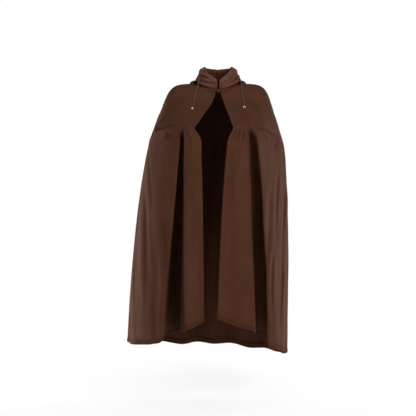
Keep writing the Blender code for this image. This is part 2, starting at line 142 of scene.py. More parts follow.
cloak = {
    "neckHalfWidth": 0.085,
    "neckFrontReach": 0.085,
    "neckBackReach": 0.075,
    "neckFrontHeight": -0.025,
    "neckBackHeight": 0.020,
    "shoulderHalfWidth": 0.205,
    "chestReach": 0.118,
    "upperBackReach": 0.128,
    "shoulderHeight": -0.016,
    "chestDrop": 0.078,
    "upperBackDrop": 0.050,
    "upperArmSwell": 0.010,
    "skirtSwell": 0.010,
    "armTopShare": 0.75,
    "skirtLevels": (0.05, 0.15, 0.30, 0.50, 0.74, 1.0),
    "tangentLimit": 1.8,
    "seamGap": 0.0010,
}

# A fold line runs from the neck over the forearm to the hem. Turns are in degrees round the
# neck, from the front over the right side, and places in millimetres. A bow under 1 brings it
# out soon below the forearm.
# name, neckTurn, chestTurn, armX, armY, armZ, hemX, hemY, hemZ, bowX, bowY
foldLines = (
    ("right edge", 3, 8, -106, -332, -216, -64, -350, -1062, 0.18, 0.40),
    ("right inner flat", 9, 14, -130, -330, -216, -112, -368, -1086, 0.45, 0.45),
    ("right inner ridge", 16, 20, -146, -321, -216, -150, -360, -1101, 0.60, 0.60),
    ("right ridge flank", 20, 24, -149, -315, -215, -152, -324, -1112, 0.80, 0.80),
    ("right deep valley", 24, 27, -152, -309, -214, -192, -162, -1142, 0.80, 0.40),
    ("right valley wall", 28, 31, -161, -302, -213, -244, -258, -1150, 0.90, 0.50),
    ("right outer ridge", 33, 35, -165, -298, -212, -250, -304, -1157, 1.10, 1.00),
    ("right outer front", 43, 44, -214, -252, -211, -296, -270, -1177, 0.90, 0.90),
    ("right outer flat", 55, 55, -264, -180, -214, -345, -214, -1190, 0.90, 0.90),
    ("right elbow", 70, 70, -300, -112, -236, -400, -90, -1212, 0.85, 0.85),
    ("right side ridge", 82, 82, -314, -60, -256, -416, -10, -1222, 0.80, 0.80),
    ("right side seam", 90, 90, -318, -26, -262, -407, 40, -1228, 0.80, 0.80),
    ("right back ridge", 99, 99, -316, 10, -262, -438, 88, -1235, 0.75, 0.75),
    ("right back flat", 112, 112, -298, 66, -256, -402, 166, -1245, 0.80, 0.80),
    ("back valley 1", 124, 124, -266, 108, -250, -338, 158, -1252, 0.80, 0.80),
    ("back ridge 1", 136, 136, -220, 138, -245, -276, 242, -1260, 0.85, 0.85),
    ("back valley 2", 151, 151, -154, 159, -242, -176, 186, -1264, 0.80, 0.80),
    ("back ridge 2", 166, 166, -80, 170, -240, -98, 276, -1268, 0.85, 0.85),
    ("back valley 3", 178, 178, -12, 173, -240, -20, 226, -1270, 0.80, 0.80),
    ("back ridge 3", 193, 193, 68, 171, -240, 68, 272, -1274, 0.85, 0.85),
    ("back valley 4", 209, 209, 148, 160, -242, 160, 188, -1282, 0.80, 0.80),
    ("back ridge 4", 224, 224, 212, 136, -246, 232, 226, -1290, 0.85, 0.85),
    ("left back flat", 240, 240, 260, 96, -254, 288, 156, -1294, 0.80, 0.80),
    ("left back ridge", 257, 257, 294, 44, -262, 330, 92, -1290, 0.45, 0.80),
    ("left side seam", 270, 270, 300, -4, -268, 309, 38, -1280, 0.80, 0.80),
    ("left side ridge", 279, 279, 300, -48, -268, 325, -14, -1266, 0.40, 0.75),
    ("left elbow", 291, 291, 284, -92, -250, 308, -90, -1244, 0.80, 0.80),
    ("left outer flat", 305, 304, 250, -142, -226, 280, -176, -1222, 0.85, 0.85),
    ("left outer front", 316, 314, 202, -220, -212, 257, -230, -1206, 0.80, 0.80),
    ("left outer ridge", 325, 322, 142, -291, -208, 221, -266, -1190, 0.42, 0.60),
    ("left valley wall", 330, 327, 138, -291, -209, 230, -206, -1166, 0.42, 0.50),
    ("left deep valley", 334, 331, 133, -292, -210, 122, -186, -1138, 0.36, 0.36),
    ("left ridge flank", 338, 335, 128, -302, -212, 160, -316, -1120, 0.80, 0.80),
    ("left inner ridge", 342, 339, 121, -311, -214, 158, -350, -1108, 0.70, 0.70),
    ("left inner flat", 350, 346, 94, -323, -216, 82, -366, -1082, 0.50, 0.50),
    ("left edge", 357, 353, 64, -330, -216, -6, -350, -1050, 0.42, 0.42),
)
rightSeam = 11
leftSeam = 24
foldTable = np.array([row[1:] for row in foldLines])
neckTurns, chestTurns = foldTable[:, 0], foldTable[:, 1]
armPlaces, hemPlaces = foldTable[:, 2:5] / 1000, foldTable[:, 5:8] / 1000
bows = foldTable[:, 8:]

# Each panel: its CAD node, its first and last fold line, where it has a front edge, its cut,
# its columns, the phase of its slow waves, and how far in from a side seam its painted sheen
# reaches
panels = {
    "frontRight": {
        "node": "front_right_panel",
        "lines": (0, rightSeam),
        "frontEdge": "first",
        "flat": (0.93, 1.31),
        "area": 0.83,
        "columns": 150,
        "phase": 0.4,
        "paintedSheenSide": 0.065,
    },
    "frontLeft": {
        "node": "front_left_panel",
        "lines": (leftSeam, len(foldLines) - 1),
        "frontEdge": "last",
        "flat": (0.91, 1.31),
        "area": 0.84,
        "columns": 150,
        "phase": 1.9,
        "paintedSheenSide": 0.095,
    },
    "back": {
        "node": "back_panel",
        "lines": (rightSeam, leftSeam),
        "frontEdge": None,
        "flat": (1.22, 1.34),
        "area": 1.29,
        "columns": 186,
        "phase": 3.3,
        "paintedSheenSide": 0.11,
    },
}
panelBuild = {
    "rows": 180,
    "dense": 0.0018,
}

hood = {
    # turn in degrees, then stand, lean, roll, reach, lie, puff and backUp in millimetres
    "sections": (
        (3, 32, 1, 5, 6, 7, 0, -4),
        (16, 42, 4, 6, 9, 9, 0, -6),
        (38, 56, 12, 8, 12, 14, 0, -8),
        (65, 68, 24, 9, 15, 18, 0, -9),
        (92, 70, 28, 9, 26, 7, 3, -8),
        (116, 62, 23, 10, 44, 6, 7, 3),
        (136, 54, 17, 12, 112, 8, 28, 56),
        (158, 46, 10, 13, 188, 8, 46, 124),
        (180, 42, 8, 14, 212, 8, 50, 150),
    ),
    "seamRise": 0.0016,
    "settlesWithin": 0.045,
    "fallsWithin": 0.10,
    "middleLift": 0.66,
    "rimTurn": 0.015,
    "rows": 92,
    "denseColumns": 240,
    "columns": 104,
    "down": (0.002, 0.40, 200),  # rows of the back that the hood is laid along
    "puckers": 0.55,
    # painted light on the hood's front near the throat
    "paintedLightFront": 1.6,
    "calmFrom": 0.12,
    "flat": (0.44, 0.36),
    "area": 0.126,
}

frog = {
    "cord": 0.0042,
    "sides": 24,
    "twistPitch": 0.0052,
    "twistRelief": 0.20,
    "barReach": 0.050,
    "strandPitch": 0.0047,
    "rowShare": 0.27,
    "spanLines": 6,         # fold lines to each side that the frog's line spans
    "linePoints": 30,
    "slopeStep": 0.004,
    "strandPoints": 300,
    "loopPoints": 420,
    "knotPoints": 560,
    "knotSides": 16,
    "heartSunk": 0.0022,    # the plain ball that fills the knot lies this far below its face
    "knotStations": (0.0095, 0.020, 0.032),
    "loopStations": (0.014, 0.024, 0.034),
    "eyeHalfWidth": 0.0062,
    "eyeCentre": 0.0005,
    "eyeHalfTurn": 120,
    "knotDiameter": 0.0150,
    "knotOff": 0.0117,
    "knotCord": 0.0016,     # half the thickness of the cord that the ball is tied from
    "knotSwing": 56,        # degrees north and south that the cord swings
    "knotTurns": 3,
    "knotSwings": 5,
    "knotSunk": 0.00215,
    "knotWeave": 0.00055,   # how far the cord goes over and under itself
    "seatGap": 0.0003,
    "solidWall": 0.002,
}


def smoothCurve(knots, points, at):
    # Cubic through points[i] at knots[i]. A tangent is the mean of the slopes beside it, held
    # to tangentLimit times the gentler of them, so that close points make no loop.
    knots = np.asarray(knots, float)
    points = np.asarray(points, float)
    column = (-1,) + (1,) * (points.ndim - 1)
    step = np.diff(knots).reshape(column)
    slope = np.diff(points, axis=0) / step
    before, after = step[:-1], step[1:]
    inner = (slope[:-1] * after + slope[1:] * before) / (before + after)
    steepness = np.linalg.norm(slope, axis=-1, keepdims=True)
    limit = cloak["tangentLimit"] * np.minimum(steepness[:-1], steepness[1:])
    inner *= np.minimum(1, limit / np.maximum(np.linalg.norm(inner, axis=-1, keepdims=True), 1e-9))
    tangent = np.concatenate([slope[:1], inner, slope[-1:]])
    index = np.clip(np.searchsorted(knots, at, side="right") - 1, 0, len(step) - 1)
    width = step[index]
    share = (at - knots[index]).reshape(column) / width
    return (
        (1 + 2 * share) * (1 - share) ** 2 * points[index]
        + share * (1 - share) ** 2 * width * tangent[index]
        + share**2 * (3 - 2 * share) * points[index + 1]
        + share**2 * (share - 1) * width * tangent[index + 1]
    )


def unit(vectors):
    return vectors / np.maximum(np.linalg.norm(vectors, axis=-1, keepdims=True), 1e-12)


def lengthsAlong(points):
    # Length from the first point of each row to each of its points
    steps = np.linalg.norm(np.diff(points, axis=-2), axis=-1)
    start = np.zeros(steps.shape[:-1] + (1,))
    return np.concatenate([start, np.cumsum(steps, axis=-1)], axis=-1)


def throughPoints(points, count, closed=False):
    # Evenly read smooth curve through a list of points
    if closed:
        points = np.concatenate([points[-3:], points, points[:4]])
    knots = lengthsAlong(points)
    first, last = (knots[3], knots[-4]) if closed else (0, knots[-1])
    return smoothCurve(knots, points, np.linspace(first, last, count, endpoint=not closed))


def readRows(places, values, at):
    # Reads each row of values, known at its own rising places, at its own row of at.
    # The rows are laid end to end with room between them, so one interp call serves all.
    room = places.max() + 1
    offset = np.arange(len(places))[:, None] * room
    flat = (places + offset).ravel()
    wanted = (np.clip(at, places[:, :1], places[:, -1:]) + offset).ravel()
    parts = [np.interp(wanted, flat, values[..., i].ravel()) for i in range(values.shape[-1])]
    return np.stack(parts, axis=-1).reshape(at.shape + (-1,))


def readLine(places, values, at):
    return readRows(places[None], values[None], at[None])[0]


def flipped(grid):
    return np.swapaxes(grid, 0, 1)


def gridNormals(grid):
    # Cross product of the steps round and down the grid, so it points out of the cloak
    return unit(np.cross(np.gradient(grid, axis=1), np.gradient(grid, axis=0)))


def aheadBehind(degrees):
    turn = np.radians(degrees)
    return np.sin(turn), np.maximum(np.cos(turn), 0), np.maximum(-np.cos(turn), 0)


def neckRing(degrees):
    # Two half ellipses: the front one reaches further, and the back one stands higher
    side, ahead, behind = aheadBehind(degrees)
    x = -cloak["neckHalfWidth"] * side
    y = cloak["neckBackReach"] * behind - cloak["neckFrontReach"] * ahead
    z = cloak["neckFrontHeight"] * ahead**2 + cloak["neckBackHeight"] * behind**2
    return np.stack([x, y, z], axis=-1)


def shoulderRing(degrees):
    # Two half ellipses that drop from the shoulders to the chest and to the upper back
    side, ahead, behind = aheadBehind(degrees)
    x = -cloak["shoulderHalfWidth"] * side
    y = cloak["upperBackReach"] * behind - cloak["chestReach"] * ahead
    drop = cloak["chestDrop"] * ahead**1.5 + cloak["upperBackDrop"] * behind**1.5
    return np.stack([x, y, cloak["shoulderHeight"] - drop], axis=-1)


def bodyRings():
    # One ring each at the neck, the shoulders, halfway to the forearms, over and on the
    # forearms, and at every skirt level, all with one point on every fold line
    shoulder = shoulderRing(chestTurns)
    sideways = np.abs(np.sin(np.radians(chestTurns)))[:, None]
    outward = unit(armPlaces * (1, 1, 0))
    upperArm = (shoulder + armPlaces) / 2 + outward * cloak["upperArmSwell"] * sideways**3
    armTop = upperArm + (armPlaces - upperArm) * cloak["armTopShare"]
    found = [neckRing(neckTurns), shoulder, upperArm, armTop, armPlaces]
    for level in cloak["skirtLevels"]:
        share = np.array([(level**x, level**y, level) for x, y in bows])
        swell = cloak["skirtSwell"] * 4 * level * (1 - level) * sideways**2
        found.append(armPlaces + (hemPlaces - armPlaces) * share + outward * swell)
    return np.array(found)


def ringKnots(rings):
    gaps = np.linalg.norm(np.diff(rings, axis=0), axis=-1).mean(axis=1)
    return np.concatenate([[0], np.cumsum(gaps)])


rings = bodyRings()
downKnots = ringKnots(rings)
aroundKnots = ringKnots(flipped(rings[-len(cloak["skirtLevels"]) - 1 :]))


def clothPoints(down, around):
    # The smooth surface through all rings and fold lines, a row for each value of down
    rows = smoothCurve(downKnots, rings, down)
    return flipped(smoothCurve(aroundKnots, flipped(rows), around))


def clothNormals(down, around, step=0.001):
    alongDown = clothPoints(down + step, around) - clothPoints(down - step, around)
    alongRound = clothPoints(down, around + step) - clothPoints(down, around - step)
    return unit(np.cross(alongRound, alongDown))


# Soft creases: each is a trough with a lower bank beside it. Places on the cloth are in from
# the piece's front edge and down from its neck seam. A bend is a share of the length.
# fromIn, fromDown, toIn, toDown, width, depth in millimetres, and bend
creases = {
    "front_right_panel": [
        # over the raised forearm, and the wrinkles at its elbow
        (300, 332, 10, 318, 7, 6.2, 0.03),
        (290, 328, 185, 232, 6.5, 4.6, 0.05),
        (300, 352, 222, 282, 5, 3, -0.04),
        (322, 374, 262, 298, 6.5, 4.6, 0.05),
        (345, 330, 300, 240, 7, 3, 0.05),
        (180, 358, 310, 392, 8, 4.6, -0.06),
        (215, 362, 150, 404, 6, 2.4, 0.05),
        # below the wrist
        (42, 340, 52, 455, 6, 2.8, 0.03),
        (78, 345, 86, 430, 5, 2.2, -0.03),
        (18, 350, 22, 420, 5, 1.8, 0.03),
        (36, 520, 40, 1020, 13, 2, 0.02),
        # yoke
        (330, 150, 250, 300, 16, 3, 0.06),
        (120, 110, 200, 270, 22, 2.6, 0.10),
        # the hanging cloth: side ridge, a curled wrinkle beside it, and long folds
        (712, 740, 722, 1300, 7, 4.2, 0.00),
        (650, 990, 694, 1235, 4.5, 3, -0.15),
        (520, 600, 560, 1270, 22, 4.8, 0.02),
        (395, 720, 450, 1210, 18, 3.6, -0.02),
        (600, 480, 640, 900, 12, 3.2, 0.03),
        (470, 430, 480, 760, 15, 2.8, -0.03),
    ],
    "front_left_panel": [
        # over the raised forearm, down to the elbow, and where the deep fold begins
        (110, 342, 352, 358, 7, 6.2, 0.09),
        (58, 334, 150, 404, 5, 4.4, 0.10),
        (220, 352, 330, 392, 8, 2.6, 0.08),
        (330, 300, 420, 430, 10, 3.4, 0.05),
        (300, 240, 370, 330, 8, 2.6, 0.05),
        # gathers below the wrist
        (10, 330, 18, 392, 4.2, 4.2, 0.06),
        (25, 328, 44, 410, 4.6, 5.6, 0.06),
        (41, 326, 70, 410, 4.6, 5.8, 0.08),
        (60, 346, 94, 412, 4.4, 4.8, 0.06),
        (55, 400, 62, 600, 8, 2.2, -0.03),
        (22, 420, 28, 760, 11, 2, 0.03),
        # yoke
        (200, 60, 300, 260, 20, 2.6, 0.05),
        (110, 110, 170, 270, 20, 2.4, 0.08),
        # the hanging cloth
        (470, 500, 512, 820, 14, 3.4, 0.02),
        (560, 560, 640, 1180, 18, 4.4, 0.02),
        (500, 860, 560, 1240, 15, 3.6, -0.02),
        (644, 940, 670, 1300, 8, 4.2, 0.00),
        (420, 560, 450, 1150, 20, 3, 0.02),
    ],
    "back_panel": [
        (80, 380, 110, 1160, 16, 4.2, 0.02),
        (210, 300, 300, 980, 18, 4.8, -0.03),
        (330, 520, 420, 1250, 14, 3.8, 0.02),
        (400, 240, 500, 860, 20, 4.8, 0.02),
        (560, 480, 640, 1210, 15, 4.2, -0.02),
        (560, 230, 700, 900, 18, 3.8, 0.03),
        (760, 420, 850, 1170, 16, 4.8, -0.02),
        (830, 700, 960, 1260, 13, 3.8, 0.02),
        (860, 330, 1010, 940, 18, 4.2, 0.02),
        (1020, 600, 1110, 1230, 14, 3.8, -0.02),
        (50, 250, 240, 310, 14, 3.6, 0.06),
        (520, 330, 700, 250, 15, 3.6, 0.06),
    ],
    "hood_right_half": [
        (120, 134, 20, 58, 7, 8, 0.03),
        (105, 104, 34, 52, 5.8, 6.8, -0.04),
        (70, 124, 14, 74, 4.5, 4.8, 0.05),
        (90, 84, 128, 128, 6, 5, 0.05),
        (100, 100, 152, 128, 11, -6, 0.05),
        (150, 120, 262, 196, 9, 4.8, 0.10),
        (140, 88, 250, 132, 8, 4.4, 0.10),
        (190, 160, 330, 275, 10, 4.8, 0.08),
        (210, 215, 290, 300, 8, 3.6, 0.08),
    ],
    "hood_left_half": [
        (125, 152, 18, 86, 4.6, 6, 0.05),
        (128, 139, 24, 78, 4.6, 6.4, 0.05),
        (122, 125, 30, 70, 4.6, 6.4, 0.04),
        (110, 110, 36, 60, 4.6, 5.4, 0.03),
        (88, 82, 130, 120, 6, 4.4, 0.05),
        (104, 100, 156, 130, 11, -6, 0.05),
        (148, 118, 256, 186, 9, 4.8, 0.10),
        (142, 90, 244, 140, 8, 4, 0.08),
        (200, 158, 320, 262, 10, 4.8, 0.10),
        (225, 220, 300, 310, 8, 3.6, 0.06),
    ],
}
creaseShape = {
    "bankOff": 1.8,         # widths from the trough to the middle of its bank
    "bankWidth": 1.2,
    "bankHeight": 0.5,
    "fadeIn": 0.18,
    "fadeOut": 0.45,
}


def smoothStep(x):
    held = np.clip(x, 0, 1)
    return held * held * (3 - 2 * held)


def creaseField(inward, down, rows):
    # Adds up depth * (bell across the crease) * (fade along it), less a lower bell beside it
    field = np.zeros(inward.shape)
    for row in rows:
        fromIn, fromDown, toIn, toDown, width, depth = np.array(row[:6]) / 1000
        length = math.hypot(toIn - fromIn, toDown - fromDown)
        alongIn, alongDown = (toIn - fromIn) / length, (toDown - fromDown) / length
        share = ((inward - fromIn) * alongIn + (down - fromDown) * alongDown) / length
        held = np.clip(share, 0, 1)
        bow = row[6] * length * 4 * held * (1 - held)
        beside = ((inward - fromIn) * alongDown - (down - fromDown) * alongIn - bow) / width
        trough = np.exp(-(beside**2))
        bank = np.exp(-(((beside - creaseShape["bankOff"]) / creaseShape["bankWidth"]) ** 2))
        fade = smoothStep(share / creaseShape["fadeIn"])
        fade = fade * smoothStep((1 - share) / creaseShape["fadeOut"])
        field -= depth * fade * (trough - creaseShape["bankHeight"] * bank)
    return field


drape = {
    # Slow waves in the hanging cloth: metres across a wave, height at the hem, phase, and how
    # far the wave drifts sideways for each metre down
    "waves": (
        (0.171, 0.0016, 0.7, 0.10),
        (0.097, 0.0011, 2.9, -0.07),
        (0.058, 0.0006, 4.4, 0.05),
    ),
    "uneven": 0.4,
    "unevenPace": 1.7,
    "phasePace": 2.1,
    "startsDown": 0.30,
    "fullWithin": 0.60,
}


def drapeField(inward, down, phase):
    # Sum of sines across the cloth that grow from the forearms to the hem, unevenly
    field = np.zeros(inward.shape)
    for wave, height, start, drift in drape["waves"]:
        swing = np.sin(inward / wave * drape["unevenPace"] + phase * drape["phasePace"] + start)
        turn = 2 * math.pi * (inward + drift * down) / wave + start + phase
        field += height * (1 - drape["uneven"] + drape["uneven"] * swing) * np.sin(turn)
    return field * smoothStep((down - drape["startsDown"]) / drape["fullWithin"])


sewing = {
    "wall": 0.0014,
    "layerGap": 0.0019,      # from the middle of the outer layer to that of the turned-in one
    "hemTurn": 0.0225,
    "frontTurn": 0.0160,
    "seamTurn": 0.0100,
    "channelTurn": 0.0190,
    "foldRows": (0.0, 0.14, 0.5, 1.0),
    "bandStart": 0.0016,
    "bandStep": 0.004,
    "pastTurn": 0.0006,
    "fromTurn": 0.0018,      # stitches run this far inside the edge of what is turned in
    "fromNeck": 0.004,
    "grooveDepth": 0.0014,
    "grooveWidth": 0.0016,
    "puckerDepth": 0.0026,
    "puckerWave": 0.0170,
    "puckerSlant": 0.55,
    "puckerWander": 1.6,
    "puckerUneven": 0.55,
    "puckerPlace": 0.6,      # share of the way from the edge to the stitches
    "puckerSpread": 0.55,
    "edgePucker": 0.35,      # how much of the hem's puckers the other borders have
    "calmFade": 0.04,        # past calmFrom, the cloth near the rim is too tightly bent for creases
    "calmRim": 0.012,
    "calmRimFade": 0.03,
    "stitchPitch": 0.0042,
    "stitchLength": 0.0031,
    "stitchShares": (0.10, 0.50, 0.90),
    "stitchUneven": 0.0003,
    "stitchArch": 0.9,       # rise of a stitch's middle, in threads
    "stitchSunk": 0.3,
    "tipSunk": 0.45,
    "thread": 0.00045,
    "roomShare": 0.9,        # of a narrow row, for both of its turned-in borders
}

# Where the cloth is painted paler or darker: paler for real wear on raised folds and along the
# edges, a painted sheen low at the sides, painted light on the hood near the throat, and painted
# shade in the hollows of creases and in the hem band.
wearAndPaintedLightAmounts = {
    "even": 0.5,
    # raised folds paler for wear, the hollows of creases darker as painted shade
    "fullRelief": 0.008,
    "side": 1.5,
    # painted sheen low along the side seams: how strong, how it fades, and how far down it starts
    # and grows
    "paintedSheenFade": 0.035,
    "paintedSheenFrom": 0.75,
    "paintedSheenWithin": 0.45,
    "throatFrom": 0.08,
    "throatFade": 0.12,
    # painted shade in the hem band
    "hem": 0.5,
    "hemFade": 0.003,
    "edge": 0.9,
    "edgeWidth": 0.0016,
}


def turnOffsets(width):
    # Distances from a turned edge where the grid has its rows: close at the fold, then even
    radius = sewing["layerGap"] / 2
    stitch = width - sewing["fromTurn"]
    past = stitch + sewing["grooveWidth"]
    count = max(2, round(width / sewing["bandStep"]))
    band = np.linspace(radius + sewing["bandStart"], stitch - sewing["grooveWidth"], count)
    fold = radius * np.array(sewing["foldRows"])
    return np.concatenate([fold, band, [stitch, past, width + sewing["pastTurn"]]])


def rowsDown(end, width, count):
    # Even rows from the neck, then the offsets of the turned-in hem or rim, up from the end
    offsets = turnOffsets(width)
    return np.concatenate([np.linspace(0, end - offsets[-1], count)[:-1], end - offsets[::-1]])


def turnLayers(offsets):
    # Quarter circle from the middle of the fold (0.5) out to the outer layer (0)
    radius = sewing["layerGap"] / 2
    left = np.clip(1 - offsets / radius, 0, 1)
    return 0.5 - 0.5 * np.sqrt(1 - left**2)


def turnedIndex(count, *widths):
    # Order in which a grid's lines are used once its first and last borders are turned in, and
    # their layers. Each border is added at the end, so the order is reversed before each.
    order, layers = np.arange(count), np.zeros(count)
    for width in widths:
        order, layers = order[::-1], layers[::-1].copy()
        if width:
            share = turnLayers(turnOffsets(width))
            inner = np.arange(1, len(share) - 1)
            layers[-len(share) :] = share[::-1]
            order = np.append(order, order[-1 - inner])
            layers = np.append(layers, 1 - share[inner])
    return order, layers


def puckerField(distance, width, run):
    # Slanting ropes between an edge and its stitches: a wandering sine along them, unevenly
    middle = sewing["puckerPlace"] * (width - sewing["fromTurn"])
    near = np.exp(-(((distance - middle) / (sewing["puckerSpread"] * width)) ** 2))
    slanted = (run + sewing["puckerSlant"] * distance) / sewing["puckerWave"]
    wander = sewing["puckerWander"] * np.sin(run / 0.031)
    roping = np.sin(2 * math.pi * slanted + wander)
    swing = np.sin(run / 0.043 + 2.0 * np.sin(run / 0.117))
    uneven = 1 - sewing["puckerUneven"] + sewing["puckerUneven"] * swing
    return sewing["puckerDepth"] * near * roping * uneven


def wearAndPaintedLightField(inward, along, relief, hem, total, spec):
    # How much the cloth is painted paler: flat cloth has the even share, raised folds more for
    # wear, the hollows of creases less as painted shade. A painted sheen at the sides, painted
    # light near the throat and painted shade in the hem band are added.
    fromSeam = np.minimum(total - inward, total if spec["frontEdge"] else inward)
    low = smoothStep((along - wearAndPaintedLightAmounts["paintedSheenFrom"]) / wearAndPaintedLightAmounts["paintedSheenWithin"])
    # painted sheen low along the side seams
    paintedSheenBySide = smoothStep((spec["paintedSheenSide"] - fromSeam) / wearAndPaintedLightAmounts["paintedSheenFade"]) * low
    # painted light near the throat, on the hood
    paintedLightByThroat = 1 - smoothStep((inward - wearAndPaintedLightAmounts["throatFrom"]) / wearAndPaintedLightAmounts["throatFade"])
    # raised folds paler for wear, hollows of creases darker as painted shade
    wornAndPaintedLit = np.clip(wearAndPaintedLightAmounts["even"] + relief / wearAndPaintedLightAmounts["fullRelief"], 0, None)
    wornAndPaintedLit += wearAndPaintedLightAmounts["side"] * paintedSheenBySide + spec["paintedLightFront"] * paintedLightByThroat
    # painted shade in the hem band
    inBand = smoothStep((spec["hemTurn"] - hem) / wearAndPaintedLightAmounts["hemFade"])
    return np.maximum(wornAndPaintedLit - wearAndPaintedLightAmounts["hem"] * inBand, 0)


def sewnGrid(base, spec):
    # Lays the final grid on a dense one. Each row is read at the border's own offsets and at
    # even shares between them. Creases, slow waves, grooves and puckers move it along the
    # normal, and then the borders are turned in as a second layer.
    first, last = spec["firstTurn"], spec["lastTurn"]
    across = lengthsAlong(base)
    along = flipped(lengthsAlong(flipped(base)))
    total = across[:, -1:]
    startOffsets, endOffsets = turnOffsets(first), turnOffsets(last)
    turned = startOffsets[-1] + endOffsets[-1] + 1e-6
    room = np.minimum(1, sewing["roomShare"] * total / turned)
    start = startOffsets * room
    end = total - endOffsets[::-1] * room
    shares = np.linspace(0, 1, spec["columns"])[1:-1]
    middle = start[:, -1:] + shares * (end[:, :1] - start[:, -1:])
    places = np.concatenate([start, middle, end], axis=1)
    fields = [base, gridNormals(base), across[..., None], along[..., None]]
    read = readRows(across, np.concatenate(fields, axis=-1), places)
    points, normals = read[..., :3], unit(read[..., 3:6])
    across, along = read[..., 6], read[..., 7]
    inward = across if spec["edgeAt"] == "first" else total - across
    hem = along[-1:] - along
    relief = creaseField(inward, along, creases[spec["node"]])
    relief += spec["waves"] * drapeField(inward, along, spec["phase"])
    fromRim = smoothStep((hem - sewing["calmRim"]) / sewing["calmRimFade"])
    calm = np.maximum(1 - smoothStep((inward - spec["calmFrom"]) / sewing["calmFade"]), fromRim)
    relief = belowCords(points, normals, relief * calm)
    wearAndPaintedLight = wearAndPaintedLightField(inward, along, relief, hem, total, spec)
    for distance, width, run, puckers in (
        (hem, spec["hemTurn"], inward, spec["puckers"]),
        (places, first, along, sewing["edgePucker"]),
        (total - places, last, along, sewing["edgePucker"]),
    ):
        stitch = width - sewing["fromTurn"]
        groove = np.exp(-(((distance - stitch) / sewing["grooveWidth"]) ** 2))
        relief -= sewing["grooveDepth"] * groove
        relief += puckers * calm * puckerField(distance, width, run)
        edge = np.exp(-((distance / wearAndPaintedLightAmounts["edgeWidth"]) ** 2))
        wearAndPaintedLight = np.maximum(wearAndPaintedLight, wearAndPaintedLightAmounts["edge"] * edge)
    points = points + normals * relief[..., None]
    normals = unit(0.5 * normals + 0.5 * gridNormals(points))
    rowOrder, rowLayers = turnedIndex(len(points), 0, spec["hemTurn"])
    columnOrder, columnLayers = turnedIndex(points.shape[1], first, last)
    picked = np.ix_(rowOrder, columnOrder)
    layer = rowLayers[:, None] + columnLayers[None, :]
    grid = points[picked] - normals[picked] * (layer * sewing["layerGap"])[..., None]
    uv = np.stack([inward[picked], along[picked]], axis=-1)
    return grid, uv, wearAndPaintedLight[picked], points, normals, places, total


def gridFaces(rows, columns, closedAcross=False):
    index = np.arange(rows * columns).reshape(rows, columns)
    if closedAcross:
        index = np.concatenate([index, index[:, :1]], axis=1)
    corners = [index[:-1, :-1], index[:-1, 1:], index[1:, 1:], index[1:, :-1]]
    return np.stack([corner.ravel() for corner in corners], axis=-1)


def addMesh(name, points, faces, uv=None, wearAndPaintedLight=None):
    mesh = bpy.data.meshes.new(name)
    mesh.from_pydata(np.reshape(points, (-1, 3)).tolist(), [], [list(face) for face in faces])
    mesh.shade_smooth()
    if uv is not None:
        corner = np.empty(len(mesh.loops), dtype=np.int32)
        mesh.loops.foreach_get("vertex_index", corner)
        layer = mesh.uv_layers.new(name="UVMap")
        layer.data.foreach_set("uv", np.reshape(uv, (-1, 2))[corner].astype(np.float32).ravel())
    if wearAndPaintedLight is not None:
        field = mesh.attributes.new("wearAndPaintedLight", "FLOAT", "POINT")
        field.data.foreach_set("value", np.ravel(wearAndPaintedLight).astype(np.float32))
    obj = bpy.data.objects.new(name, mesh)
    bpy.context.scene.collection.objects.link(obj)
    return obj


def setInputs(tree, node, inputs):
    # A socket's name or number, with its fixed value or the nodeValue that is linked to it
    for name, value in inputs.items():
        if isinstance(value, nodeValue):
            tree.links.new(value.socket, node.inputs[name])
        else:
            node.inputs[name].default_value = value


class nodeValue:
    # A socket of a material's tree that can stand in a sum: each operator adds a Math node
    def __init__(self, tree, socket):
        self.tree = tree
        self.socket = socket

    def node(self, kind, settings=None, inputs=None, output=0):
        # Any other node: its settings first, then the values or links of its sockets
        made = self.tree.nodes.new(kind)
        for name, value in (settings or {}).items():
            setattr(made, name, value)
        setInputs(self.tree, made, inputs or {})
        return nodeValue(self.tree, made.outputs[output])

    def math(self, operation, *others, swapped=False):
        terms = (self,) + others
        if swapped:
            terms = terms[::-1]
        return self.node("ShaderNodeMath", {"operation": operation}, dict(enumerate(terms)))

    def __add__(self, other):
        return self.math("ADD", other)

    __radd__ = __add__

    def __mul__(self, other):
        return self.math("MULTIPLY", other)

    __rmul__ = __mul__

    def __sub__(self, other):
        return self.math("SUBTRACT", other)

    def __rsub__(self, other):
        return self.math("SUBTRACT", other, swapped=True)

    def __truediv__(self, other):
        return self.math("DIVIDE", other)

    def __mod__(self, other):
        return self.math("FLOORED_MODULO", other)

    def __gt__(self, other):
        return self.math("GREATER_THAN", other)

    def sine(self):
        return self.math("SINE")

    def size(self):
        return self.math("ABSOLUTE")

    def floor(self):
        return self.math("FLOOR")

    def noise(self, scale, detail=2.0, roughness=0.5):
        inputs = {"Vector": self, "Scale": scale, "Detail": detail, "Roughness": roughness}
        return self.node("ShaderNodeTexNoise", None, inputs)

    def stretched(self, scale):
        return self.node("ShaderNodeMapping", None, {"Vector": self, "Scale": scale})

    def bump(self, strength, distance, under=None):
        # A normal that leans with this value as its height in metres
        inputs = {"Height": self, "Strength": strength, "Distance": distance}
        if under is not None:
            inputs["Normal"] = under
        return self.node("ShaderNodeBump", None, inputs)

    def blend(self, low, high):
        # A colour between low and high, by this value
        settings = {"data_type": "RGBA", "clamp_factor": True}
        return self.node("ShaderNodeMix", settings, {0: self, 6: low, 7: high}, output=2)


def startMaterial(name):
    # A new material, and the place of each point in its object's own coordinates
    material = bpy.data.materials.new(name)
    material.use_nodes = True
    tree = material.node_tree
    return material, nodeValue(tree, tree.nodes.new("ShaderNodeTexCoord").outputs["Object"])


def mapPlaces(place):
    # u and v of the piece's own map
    flat = place.node("ShaderNodeUVMap", {"uv_map": "UVMap"})
    return [place.node("ShaderNodeSeparateXYZ", None, {0: flat}, output=i) for i in (0, 1)]


